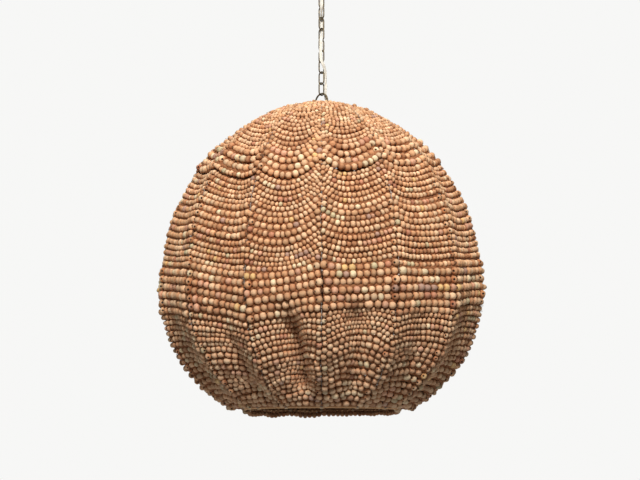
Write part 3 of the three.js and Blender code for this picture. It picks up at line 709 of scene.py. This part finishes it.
# Each panel hangs its own way. Panel 0 lies to the right of the rib that faces the viewer. A panel's ends
# are how far below (positive) or above their height at the front rib its rows meet its ribs, in millimetres
PANEL_ENDS = [(0, -9), (-9, -21), (-21, -42), (-42, -30), (-30, -14), (-14, 8), (8, 14),
              (14, 6), (6, -8), (-8, -24), (-24, -36), (-22, 0), (0, 34), (21, 0)]
PANEL_SAGS = [0.86, 0.4, 0.15, 0.25, 0.7, 0.9, 0.75, 0.9, 1.0, 0.7, 0.4, 0.12, 0.32, 1.12]
PANEL_LEANS = [0.39, 0.4, 0.5, 0.45, 0.55, 0.5, 0.4, 0.56, 0.5, 0.44, 0.6, 0.5, 0.66, 0.54]
PANEL_ARCHES = [1.0, 0.4, 0.3, 0.4, 0.8, 0.9, 0.7, 0.9, 1.0, 0.8, 0.5, 0.3, 0.25, 0.4]
ARCH_LEANS = [0.54, 0.42, 0.5, 0.5, 0.5, 0.45, 0.55, 0.5, 0.45, 0.5, 0.5, 0.5, 0.6, 0.7]
PANEL_PLEATS = [0.56, 0.5, 0.4, 0.55, 0.38, 0.6, 0.5, 0.42, 0.62, 0.45, 0.55, 0.4, 0.62, 0.63]
PLEAT_DEPTHS = [v * MM for v in (30, 8, 6, 14, 24, 18, 22, 26, 16, 20, 12, 8, 14, 62)]
PLEAT_FLANKS = [(0.18, 0.14)] + [(0.15, 0.15)] * 12 + [(0.22, 0.12)]
PLEAT_WANDER = 0.7
PANEL_RUCKS = [1.0, 0.7, 0.4, 0.5, 0.8, 0.8, 0.8, 0.8, 0.8, 0.8, 0.5, 0.4, 0.6, 0.8]
PANEL_LEDGES = [v * MM for v in (5, 3, 2, 3, 4, 3, 3, 4, 3, 3, 2, 4, 5, 2)]
PANEL_SKIRT_SIZES = [1.1, 1.1, 1.1, 1.08, 1, 1.04, 1, 1.06, 1, 1.04, 1.1, 1.1, 1.06, 1]
PANEL_SHIFTS = [0, 1, 0, -1, 0, 1, 0, -1, 1, 0, 1, 0, -1, 0]
HEM_SAGS = [v * MM for v in (0, 0, 0, 3, 4, 5, 5, 8, 8, 6, 3, 0, 0, 0)]

# Rows of beads: CAD node, first and last row at the front rib in millimetres, rows, share of a bead's size
# that it takes up along its row, bead size in millimetres and how mixed the clay is
BANDS = [
    ("beads_crown_fine", 35, 283, 21, 0.84, 11.4, 0.1),
    ("beads_crown_large", 298, 361, 4, 0.92, 16.2, 0.8),
    ("beads_upper_fine", 376, 447, 6, 0.84, 11.9, 0.1),
    ("beads_upper_medium", 464, 528, 5, 0.9, 14.6, 0.2),
    ("beads_middle_fine", 544, 598, 5, 0.86, 12.2, 0.3),
    ("beads_waist_large", 616, 706, 6, 0.95, 17.0, 1.0),
    ("beads_lower_fine", 722, 787, 6, 0.9, 12.2, 0.35),
    ("beads_skirt_medium", 802, 955, 12, 1.0, 13.2, 0.45),
]

# How much longer each panel's beads are than that share
PANEL_LENGTHS = [1, 1.08, 1.2, 1.36, 1.15, 1.05, 1.05, 1.05, 1.05, 1.15, 1.36, 1.2, 1.08, 1]

# Power that spaces the crown's rows, and the share of rows in the upper piece of a band in two pieces
CROWN_SPREAD = 1.08
UPPER_SHARE = 0.55

# How beads fill a row, where sizes are shares of the band's and rib gaps are at most a share of the panel
ROW_FILL = 0.97
SMALLEST_SHARE = 0.92
LARGEST_SHARE = 1.01
ROW_SAMPLES = 49
RIB_GAPS = [1.0 * MM] + [0.8 * MM] * 13
WIDEST_RIB_GAP = 0.04

# The first row that takes its size and colours from a neighbour where PANEL_SHIFTS says so
FIRST_SHIFTED_ROW = 22

# Shares of the rib's arc between which each of these comes in or goes out
ARCHED = (0.62, 0.75)
SKIRT = (0.76, 0.9)
ENDS_IN = (0.12, 0.3)
ENDS_OUT = (0.84, 0.975)
SETTLED = (0.93, 0.98)
FOLD_IN = (0.67, 0.77)
FOLD_OUT = (0.88, 0.96)
LOOSE = (0.8, 0.95)
TURNED = (0.25, 0.5)

# How the rows lie, and how unevenly. RUCK_SLIDE and RUCK_DEPTH are in millimetres
ROW_PHASE = 0.55
SLACK_SPREAD = 0.1
SKIRT_WANDER = 3
RUCK_SLIDE = 2
RUCK_DEPTH = 2.2
PLEAT_PIVOT = 0.8
FOLD_MARGIN = 0.15
LOW_FLATTENING = 0.45
CROSSING_SPREAD = 1.7 * MM
CROSSING_LIMIT = 3.5 * MM
ROW_STAGGER = 0.5 * MM
BASE_LIFT = 0.4 * MM
CROWN_LIFT = 3.5 * MM
CROWN_LIFT_ARCS = (0.03, 0.09)

# How unevenly the beads are made and strung. LOOSE_REACH and TURNED_LIFT are in millimetres
TONE_SPREAD = 0.07
SHADE_SPREAD = 0.22
SAME_AS_LAST = 0.16
OVAL_SPREAD = 0.025
SIZE_SPREAD = 0.055
SIZE_LIMITS = (0.86, 1.12)
ROW_STRETCH = (0.9, 1.1)
EDGE_SPREAD = 0.075
EDGE_LIMIT = 0.2
OUTWARD_SPREAD = 0.5 * MM
ACROSS_SPREAD = 0.2 * MM
LOOSE_REACH = 3
LOOSE_ALL = 0.05
LOOSE_SKIRT = 0.13
LOOSE_OVERHANG = 0.1
SKIRT_MIX = 0.3
SKIRT_MIX_RISE = 5
TURNED_SHARE = 0.55
TURNED_OUT = (0.5, 1.5)
TURNED_LIFT = 0.8
BEAD_OVERLAP = 1.01

# Threads through the rows, and dark tubes of painted shade that show between them. Shares are of the bead
# or gap
THREAD_STEP = 4
THREAD_SIDES = 6
STRAND_SHARE = 0.23
STRAND_DEPTH = 0.4 * MM
GAP_SHADE_DEPTH = 0.44
GAP_SHADE_SHARE = 0.33
WIDE_GAP = 13 * MM
WIDE_SHARE = 0.6
GAP_SHADE_LIMITS = (1.6 * MM, 7.5 * MM)

# Two dark tubes of painted shade under the lowest rows: length along the arc, lift and radius
FOOT_ROW = ARC_LENGTH - 7.5 * MM
FOOT_SAMPLES = 13
FOOT_SHADE_TUBES = ((FOOT_ROW, -3 * MM, 2.2 * MM), (FOOT_ROW - 9 * MM, 0, 3.4 * MM))

# Loose rows below the ring
HEM_ROWS = 3
HEM_STEP_IN = 4 * MM
HEM_STEP_DOWN = 8 * MM
HEM_PITCH = 13 * MM
HEM_SIZE = 12 * MM
HEM_LIFT = -6 * MM
HEM_RIPPLE = 0.6 * MM
# Radius of the dark tube of painted shade above each hem row
HEM_SHADE_TUBE = 2.6 * MM

# A bead's outline: place along its bore, distance from it, both as shares of its size, and its darkness,
# which paints shade into the ends of the hole
BEAD_RINGS = [
    (-0.40, 0.09, 1.0), (-0.455, 0.21, 0.05), (-0.3, 0.405, 0), (0, 0.5, 0),
    (0.3, 0.405, 0), (0.455, 0.21, 0.05), (0.40, 0.09, 1.0),
]
BEAD_SIDES = 10
# Painted shade between beads falls on the ends past TOUCHING_FROM along the bore, and on the sides as
# SHADED_SIDE turns them away from facing out.
TOUCHING_FROM = 0.45
SHADED_SIDE = (-0.25, 0.8)


def smooth_step(value, low, high):
    t = np.clip((value - low) / (high - low), 0, 1)
    return t * t * (3 - 2 * t)


def drift(places, waves):
    """A slow random wander of about unit size along the places."""
    speeds = rng.uniform(0.5, 1.6, waves)
    phases = rng.uniform(0, 2 * np.pi, waves)
    return sum(np.sin(places * s + p) for s, p in zip(speeds, phases)) / math.sqrt(waves / 2)


def hang(u, lean):
    """A slack row's fall between two ribs, 0 at both and 1 at its lowest, with a crease at each rib."""
    u = np.clip(u, 0, 1)
    return np.where(u < lean, 1 - ((lean - u) / lean) ** 2, 1 - ((u - lean) / (1 - lean)) ** 2)


def panel_rows(arcs, panel, starts, ends):
    """Lines of all the rows across one panel, with their normals, their pitch and the gaps between."""
    part = np.linspace(0, 1, ROW_SAMPLES)
    u = starts[:, None] + (1 - starts - ends)[:, None] * part
    share = (arcs / ARC_LENGTH)[:, None]
    slide, depth = (np.interp(share, SWAG_SHARES[:, 0], SWAG_SHARES[:, i]) * ARC_LENGTH for i in (1, 2))
    rows = np.arange(len(arcs))[:, None] * ROW_PHASE
    low = smooth_step(share, *ARCHED)
    skirt = smooth_step(share, *SKIRT)
    fade = smooth_step(share, *ENDS_IN) * (1 - smooth_step(share, *ENDS_OUT))
    free = 1 - smooth_step(share, *SETTLED)
    left, right = PANEL_ENDS[panel]
    drop = fade * (left + (right - left) * u) * MM
    fall = (1 - low) * hang(u, PANEL_LEANS[panel]) + low * hang(u, ARCH_LEANS[panel])
    reach = (1 - low) * PANEL_SAGS[panel] + low * PANEL_ARCHES[panel]
    slack = 1 + SLACK_SPREAD * drift(rows, 3)
    wander = (1 + SKIRT_WANDER * skirt) * drift(rows, 4) * MM
    ruck = PANEL_RUCKS[panel] * skirt * free * fall ** 0.5
    along = arcs[:, None] + drop + (slide * reach * slack + wander * free) * fall
    along += ruck * RUCK_SLIDE * MM * drift(rows + 7 * u, 3)
    along = np.minimum(along, ARC_LENGTH)
    fold_line = PANEL_PLEATS[panel] + PLEAT_WANDER * (share - PLEAT_PIVOT)
    flank = np.where(u < fold_line, PLEAT_FLANKS[panel][0], PLEAT_FLANKS[panel][1])
    fold = np.exp(-(((u - fold_line) / flank) ** 2))
    fold = fold * smooth_step(u, 0, FOLD_MARGIN) * smooth_step(1 - u, 0, FOLD_MARGIN)
    fold *= PLEAT_DEPTHS[panel] * smooth_step(share, *FOLD_IN) * (1 - smooth_step(share, *FOLD_OUT))
    inward = depth * (1 - LOW_FLATTENING * low) * fall
    inward = inward + ruck * RUCK_DEPTH * MM * drift(rows * 1.3 - 6 * u, 3)
    angle = panel_angles(panel, u)
    points, normals = on_shade(along, angle, -inward)
    points -= fold[..., None] * around_axis(angle, 1, 0)
    run = unit(np.gradient(points, axis=1))
    gap = np.linalg.norm(crosswise(np.diff(points, axis=0), run[:-1]), axis=2)
    pitch = np.vstack([gap[:1], (gap[:-1] + gap[1:]) / 2, gap[-1:]])
    return points, normals, pitch, gap


def bead_form():
    turn = np.linspace(0, 2 * np.pi, BEAD_SIDES, endpoint=False)
    points = np.array([(x, r * math.cos(a), r * math.sin(a)) for x, r, _ in BEAD_RINGS for a in turn])
    dark = np.repeat([d for *_, d in BEAD_RINGS], BEAD_SIDES)
    # Sides that turn away from the outside are marked for painted shade.
    shaded_sides = 1 - smooth_step(np.tile(np.sin(turn), len(BEAD_RINGS)), *SHADED_SIDE)
    ends = [tuple(range(BEAD_SIDES))[::-1], tuple(range(len(points) - BEAD_SIDES, len(points)))]
    # Ends that touch the next bead are marked for painted shade.
    touching = np.repeat([abs(x) > TOUCHING_FROM for x, *_ in BEAD_RINGS], BEAD_SIDES)
    return points, dark, shaded_sides, touching, grid_faces(len(BEAD_RINGS), BEAD_SIDES) + ends


class Beads:
    """Places, directions, sizes and colours of the beads of one piece."""

    def __init__(self):
        self.rows = []

    def add(self, centre, along, out, size, length, mixed, tone, shown):
        count = len(centre)
        chances = np.array([(1 - mixed) * a + mixed * b for _, a, b in CLAY])
        picks = rng.choice(len(CLAY), count, p=chances / chances.sum())
        keep = rng.random(count) < SAME_AS_LAST
        for i in range(1, count):
            if keep[i]:
                picks[i] = picks[i - 1]
        shade = np.clip(tone + rng.normal(0, SHADE_SPREAD, count), 0, 1)
        self.rows.append((centre, along, out, size, length, (picks + 0.5) / len(CLAY), shade, shown))

    def piece(self, name, body, slot, *nodes):
        centre, along, out, size, length, tint, shade, shown = (np.concatenate(c) for c in zip(*self.rows))
        form, dark, shaded_sides, touching, faces = bead_form()
        along = unit(along)
        out = unit(crosswise(out, along))
        side = np.cross(out, along)
        oval = rng.normal(1, OVAL_SPREAD, len(centre))
        scale = np.stack([length, size * oval, size / oval], 1)
        local = form[None] * scale[:, None]
        points = centre[:, None] + sum(
            local[:, :, i, None] * axis[:, None] for i, axis in enumerate((along, side, out))
        )
        loops = np.concatenate([np.array(f) for f in faces])
        starts = np.cumsum([0] + [len(f) for f in faces[:-1]])
        beads = np.arange(len(centre))[:, None]
        mesh = bpy.data.meshes.new(name)
        mesh.vertices.add(points.shape[0] * points.shape[1])
        mesh.vertices.foreach_set("co", points.reshape(-1).astype(np.float32))
        mesh.loops.add(len(beads) * len(loops))
        mesh.loops.foreach_set("vertex_index", (loops + beads * len(form)).reshape(-1).astype(np.int32))
        mesh.polygons.add(len(beads) * len(faces))
        mesh.polygons.foreach_set("loop_start", (starts + beads * len(loops)).reshape(-1).astype(np.int32))
        # The last two attributes carry painted shade: the dark hole ends and the darkened sides between
        # beads.
        for label, values in (
            ("tint", np.repeat(tint, len(form))),
            ("shade", np.repeat(shade, len(form))),
            ("bore", np.tile(dark, len(beads))),
            ("crevice_shade", np.maximum(shaded_sides[None], touching[None] * (1 - shown)[:, None]).reshape(-1)),
        ):
            attribute = mesh.attributes.new(label, "FLOAT", "POINT")
            attribute.data.foreach_set("value", values.astype(np.float32))
        mesh.polygons.foreach_set("use_smooth", np.ones(len(mesh.polygons), bool))
        mesh.update(calc_edges=True)
        mesh.validate()
        mesh.materials.append(CLAY_LOOK)
        return place(in_scene(name, mesh), body, slot, *nodes)


def string_row(beads, path, normals, pitch, size, lift, mixed, loose, tone, turned, share):
    """Strings one row: beads fill the line from end to end, each as large as the rows leave room for."""
    steps = np.linalg.norm(np.diff(path, axis=0), axis=1)
    run = np.concatenate([[0], np.cumsum(steps)])
    room = np.clip(pitch * ROW_FILL, size * SMALLEST_SHARE, size * LARGEST_SHARE)
    stretch = share * rng.uniform(*ROW_STRETCH)
    filled = np.concatenate([[0], np.cumsum(steps / ((room[1:] + room[:-1]) / 2 * stretch))])
    count = max(1, round(filled[-1]))
    marks = (np.arange(count + 1) / count) * filled[-1]
    marks[1:-1] += np.clip(rng.normal(0, EDGE_SPREAD, count - 1), -EDGE_LIMIT, EDGE_LIMIT)
    edges = np.interp(marks, filled, run)
    middle, lengths = (edges[1:] + edges[:-1]) / 2, np.diff(edges)
    sizes = np.interp(middle, run, room) * np.clip(rng.normal(1, SIZE_SPREAD, count), *SIZE_LIMITS)

    def along_row(values, where):
        return np.stack([np.interp(where, run, values[:, i]) for i in range(3)], 1)

    centre, out = along_row(path, middle), along_row(normals, middle)
    along = unit(along_row(path, edges[1:]) - along_row(path, edges[:-1]))
    across = np.cross(out, along)
    tilt = rng.normal(0, loose, (count, 2))
    centre = centre + out * (lift + sizes / 2 + rng.normal(0, OUTWARD_SPREAD, count))[:, None]
    centre = centre + across * rng.normal(0, ACROSS_SPREAD + loose * LOOSE_REACH * MM, count)[:, None]
    along = along + tilt[:, :1] * out + tilt[:, 1:] * across
    shown = np.zeros(count)
    for end, sign in ((0, 1), (count - 1, -1)):
        if rng.random() < turned:
            along[end] = along[end] * sign + out[end] * rng.uniform(*TURNED_OUT)
            centre[end] += out[end] * TURNED_LIFT * MM
            shown[end] = 1
    beads.add(centre, along, out, sizes, lengths * BEAD_OVERLAP, mixed, tone, shown)
    axis = path + normals * (lift + room[:, None] / 2 - STRAND_DEPTH)
    return tube(axis[::THREAD_STEP], room[::THREAD_STEP] * STRAND_SHARE, THREAD_SIDES)


def hang_hem(beads, panel, threads, gap_shade):
    """Loose rows that sag below the ring from one rib to the next."""
    u = np.linspace(0, 1, ROW_SAMPLES)
    angle = panel_angles(panel, u)
    normals = around_axis(angle, 1, -0.2)
    for row in range(HEM_ROWS):
        fall = HEM_SAGS[panel] * (0.6 + 1.6 * u * (1 - u)) + HEM_RIPPLE * drift(u * 5, 2)
        radius = MOUTH_RADIUS + HEM_STEP_IN - row * HEM_STEP_IN
        height = RING_HEIGHT + (HEM_ROWS - 1 - row) * HEM_STEP_DOWN - fall
        points = around_axis(angle, radius, height)
        pitch = np.full(ROW_SAMPLES, HEM_PITCH)
        # The low tone is painted shade: these beads hang below the ring in shade.
        threads.append(string_row(beads, points, normals, pitch, HEM_SIZE, HEM_LIFT, mixed=0.5, loose=0.1,
                                  tone=0.1, turned=0.1, share=1.0))
        # A dark tube of painted shade behind each hem row.
        raised = points[::THREAD_STEP] + np.array((0, 0, HEM_STEP_DOWN / 2))
        gap_shade.append(tube(raised, HEM_SHADE_TUBE, THREAD_SIDES))


def make_beads():
    """All rows, the thread in each, and between each two a dark tube of painted shade."""
    table = []
    for band in BANDS:
        name, first, last, count = band[:4]
        power = CROWN_SPREAD if name == "beads_crown_fine" else 1
        for i in range(count):
            table.append((band, (first + (last - first) * (i / (count - 1)) ** power) * MM, i))
    arcs = np.array([row[1] for row in table])
    panel_width = np.interp(arcs, OUTLINE[0], OUTLINE[1]) * 2 * np.pi / RIB_COUNT
    crossings = rng.normal(0, CROSSING_SPREAD, (len(table), RIB_COUNT))
    crossings = np.clip(crossings, -CROSSING_LIMIT, CROSSING_LIMIT) / panel_width[:, None]
    groups, threads, gap_shade = {}, [], []
    tones = rng.normal(0.5, TONE_SPREAD, (len(table), RIB_COUNT))
    for panel in range(RIB_COUNT):
        following = (panel + 1) % RIB_COUNT
        starts = np.minimum(RIB_GAPS[panel] / panel_width, WIDEST_RIB_GAP) + crossings[:, panel]
        ends = np.minimum(RIB_GAPS[following] / panel_width, WIDEST_RIB_GAP) - crossings[:, following]
        points, normals, pitch, gap = panel_rows(arcs, panel, starts, ends)
        foot = panel_angles(panel, np.linspace(0, 1, FOOT_SAMPLES))
        # Dark tubes of painted shade under the lowest rows.
        for row, lift, radius in FOOT_SHADE_TUBES:
            path, _ = on_shade(np.full(FOOT_SAMPLES, row), foot, lift)
            gap_shade.append(tube(path, radius, THREAD_SIDES))
        for index, (band, arc, place_in_band) in enumerate(table):
            name, _, _, count, length_share, _, _ = band
            source = int(np.clip(index - PANEL_SHIFTS[panel], 0, len(table) - 1))
            millimetres, mixed = (table[source][0] if index >= FIRST_SHIFTED_ROW else band)[5:]
            overhangs = name == "beads_crown_large"
            lift = BASE_LIFT + CROWN_LIFT * (1 - smooth_step(arc, *CROWN_LIFT_ARCS))
            lift += ROW_STAGGER * (-1) ** index
            if place_in_band == count - 1 and overhangs:
                lift += PANEL_LEDGES[panel]
            share = arc / ARC_LENGTH
            loose = LOOSE_ALL + LOOSE_SKIRT * smooth_step(share, *LOOSE) + LOOSE_OVERHANG * overhangs
            half = ""
            if name in ("beads_crown_fine", "beads_skirt_medium"):
                half = "_upper" if place_in_band < count * UPPER_SHARE else "_lower"
            beads = groups.setdefault((name, half), Beads())
            if name == "beads_skirt_medium":
                millimetres *= PANEL_SKIRT_SIZES[panel]
                mixed = SKIRT_MIX + SKIRT_MIX_RISE * (PANEL_SKIRT_SIZES[panel] - 1) * place_in_band / count
            threads.append(string_row(
                beads, points[index], normals[index], pitch[index], millimetres * MM, lift, mixed, loose,
                tone=tones[index, panel],
                turned=TURNED_SHARE * smooth_step(share, *TURNED),
                share=length_share * PANEL_LENGTHS[panel]))
            # Between each two rows a dark tube of painted shade.
            if index:
                room = gap[index - 1]
                reach = lift + millimetres * MM / 2 - GAP_SHADE_DEPTH * room[:, None]
                between = (points[index] + points[index - 1]) / 2 + normals[index] * reach
                thick = room * GAP_SHADE_SHARE + np.maximum(room - WIDE_GAP, 0) * WIDE_SHARE
                thick = np.clip(thick, *GAP_SHADE_LIMITS)
                gap_shade.append(tube(between[::THREAD_STEP], thick[::THREAD_STEP], THREAD_SIDES))
    for panel in np.flatnonzero(HEM_SAGS):
        hang_hem(groups[("beads_skirt_medium", "_lower")], panel, threads, gap_shade)
    for (name, half), beads in groups.items():
        label = name.replace("beads_", "").replace("_", "")
        beads.piece(f"beads_{label}{half}", "shade", name.replace("beads_", "clay_"), name)
    add_piece("row_threads", threads, STRAND, "shade", "cord_ivory")
    add_piece("gap_shade_tubes", gap_shade, GAP_SHADE, "shade", "cord_ivory")


make_beads()


# Thread that runs down each rib between the rows, with its knots
def knot(centre, out, size, wire):
    """A small overhand knot."""
    t = np.linspace(0, 2 * np.pi, 22, endpoint=False)
    curl = np.stack([np.sin(t) + 2 * np.sin(2 * t), np.cos(t) - 2 * np.cos(2 * t), -np.sin(3 * t)], 1) / 3
    side = np.cross(out, (0, 0, 1))
    side /= np.linalg.norm(side)
    up = np.cross(side, out)
    path = centre + size * (curl[:, :1] * side + curl[:, 1:2] * up + curl[:, 2:] * out * 0.6)
    return tube(path, wire, 5, closed=True)


def make_rib_threads():
    wire = 0.6 * MM
    knots_on_rib = 26
    knot_lift = 3.5 * MM
    knot_wire = 0.42 * MM
    parts = []
    arcs = np.linspace(34 * MM, ARC_LENGTH - 16 * MM, 240)
    free = 1 - smooth_step(arcs / ARC_LENGTH, *SETTLED)
    for rib in range(RIB_COUNT):
        lift = (3.4 + 2.4 * drift(arcs / (22 * MM), 3)) * MM * free
        sway = 0.9 * MM * drift(arcs / (18 * MM), 3) / np.interp(arcs, OUTLINE[0], OUTLINE[1])
        path, normals = on_shade(arcs, rib_angle(rib) + sway, np.clip(lift, 0.5 * MM, 8 * MM))
        parts.append(tube(path, wire, 5))
        for index in rng.choice(np.arange(30, 236), knots_on_rib, replace=False):
            centre = path[index] + normals[index] * knot_lift
            parts.append(knot(centre, normals[index], rng.uniform(1.1, 1.8) * MM, knot_wire))
    add_piece("rib_threads", parts, THREAD, "shade", "cord_ivory")


make_rib_threads()


# Ribs and ring, and the ribs whose bindings are large
BIG_BINDINGS = (3, 10)


def make_frame():
    """The ribs, the ring wrapped in cord, and the thread that binds each rib to the ring."""
    start = 24.3 * MM
    end = ARC_LENGTH - RIB_ROD / 2 - SEAT_GAP
    snug = 0.98
    for rib in range(RIB_COUNT):
        path, _ = on_shade(np.linspace(start, end, 90), rib_angle(rib), -RIB_ROD / 2)
        add_piece(f"rib_wire_{rib + 1:02d}", [tube(path, RIB_ROD / 2 * snug, 12)], DARK_STEEL, "shade",
                  "dark_steel", f"rib_{rib + 1:02d}")
    low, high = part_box("bottom_ring")
    radius = (high.x - low.x) / 2 - RIB_ROD / 2
    height = (low.z + high.z) / 2
    turn = np.linspace(0, 2 * np.pi, 720, endpoint=False)
    ring = around_axis(turn, radius, height)
    wraps = 180
    wrapped = RIB_ROD / 2 * (0.94 + 0.06 * np.abs(np.sin(turn * wraps)))
    add_piece("ring_wrapped", [tube(ring, wrapped, 12, closed=True)], WRAP, "shade", "ring_tan",
              "bottom_ring")
    bindings = []
    for rib in range(RIB_COUNT):
        big = rib in BIG_BINDINGS
        turns, step, wire = (11, 2.1 * MM, 1.3 * MM) if big else (4, 1.9 * MM, 0.95 * MM)
        bulge = 4.4 * MM if big else 0
        t = np.linspace(0, 1, 20 * turns)
        angle = rib_angle(rib) + (t - 0.5) * turns * step / radius
        spin = t * turns * 2 * np.pi
        reach = RIB_ROD / 2 + 0.6 * wire + bulge * np.sin(t * np.pi)
        path = around_axis(angle, radius + reach * np.cos(spin), height + reach * np.sin(spin))
        bindings.append(tube(path, wire, THREAD_SIDES))
    add_piece("ring_bindings", bindings, TAN_THREAD, "shade", "ring_tan")


make_frame()


# Light and stage
def seen_directly(tree):
    """1 for what the camera, metal or glass shows, and 0 for what lights the scene."""
    ray = tree.nodes.new("ShaderNodeLightPath")
    value = ray.outputs["Is Camera Ray"]
    for kind in ("Is Glossy Ray", "Is Transmission Ray"):
        value = add_node(tree, "Math", "Value", {0: value, 1: ray.outputs[kind]}, operation="MAXIMUM")
    return value


def make_lights():
    world = bpy.data.worlds.new("studio")
    bpy.context.scene.world = world
    world.use_nodes = True
    tree = world.node_tree
    tree.nodes.clear()
    fill = add_node(tree, "Background", 0, {"Color": (1, 0.985, 0.96, 1), "Strength": 0.15})
    seen = add_node(tree, "Background", 0, {"Color": (0.93, 0.93, 0.92, 1), "Strength": 1.0})
    mixed = add_node(tree, "MixShader", 0, {"Fac": seen_directly(tree), 1: fill, 2: seen})
    tree.links.new(mixed, tree.nodes.new("ShaderNodeOutputWorld").inputs["Surface"])
    for name, place_at, size, power, tint in (
        ("key", (-0.05, -2.85, 1.2), 1.0, 124, (1, 0.975, 0.97)),
        ("top", (0.3, 0.0, 2.2), 1.4, 26, (1, 0.97, 0.94)),
    ):
        data = bpy.data.lights.new(name, "AREA")
        data.shape = "DISK"
        data.size = size
        data.energy = power
        data.color = tint
        lamp = in_scene(name, data)
        lamp.location = place_at
        aim = Vector((0, 0, WIDEST)) - Vector(place_at)
        lamp.rotation_mode = "QUATERNION"
        lamp.rotation_quaternion = aim.to_track_quat("-Z", "Y")


def make_stage():
    """A pale floor whose glow shows but doesn't light the object."""
    size = 30
    floor_height = -3.8
    look = Look("floor_paint", roughness=0.8)
    base = look.mix(look.levels(look.noise(1.2, 3), 0.3, 0.7), (0.80, 0.80, 0.79, 1), (0.84, 0.84, 0.83, 1))
    look.shader.inputs["Emission Color"].default_value = (0.93, 0.93, 0.92, 1)
    glow = look.math("MULTIPLY", seen_directly(look.tree), 0.7)
    look.tree.links.new(glow, look.shader.inputs["Emission Strength"])
    corners = [(x * size, y * size, floor_height) for x, y in ((-1, -1), (1, -1), (1, 1), (-1, 1))]
    floor = new_object("floor", corners, [(0, 1, 2, 3)], look.finish(base))


make_lights()
make_stage()
bpy.context.scene.view_settings.view_transform = "Standard"
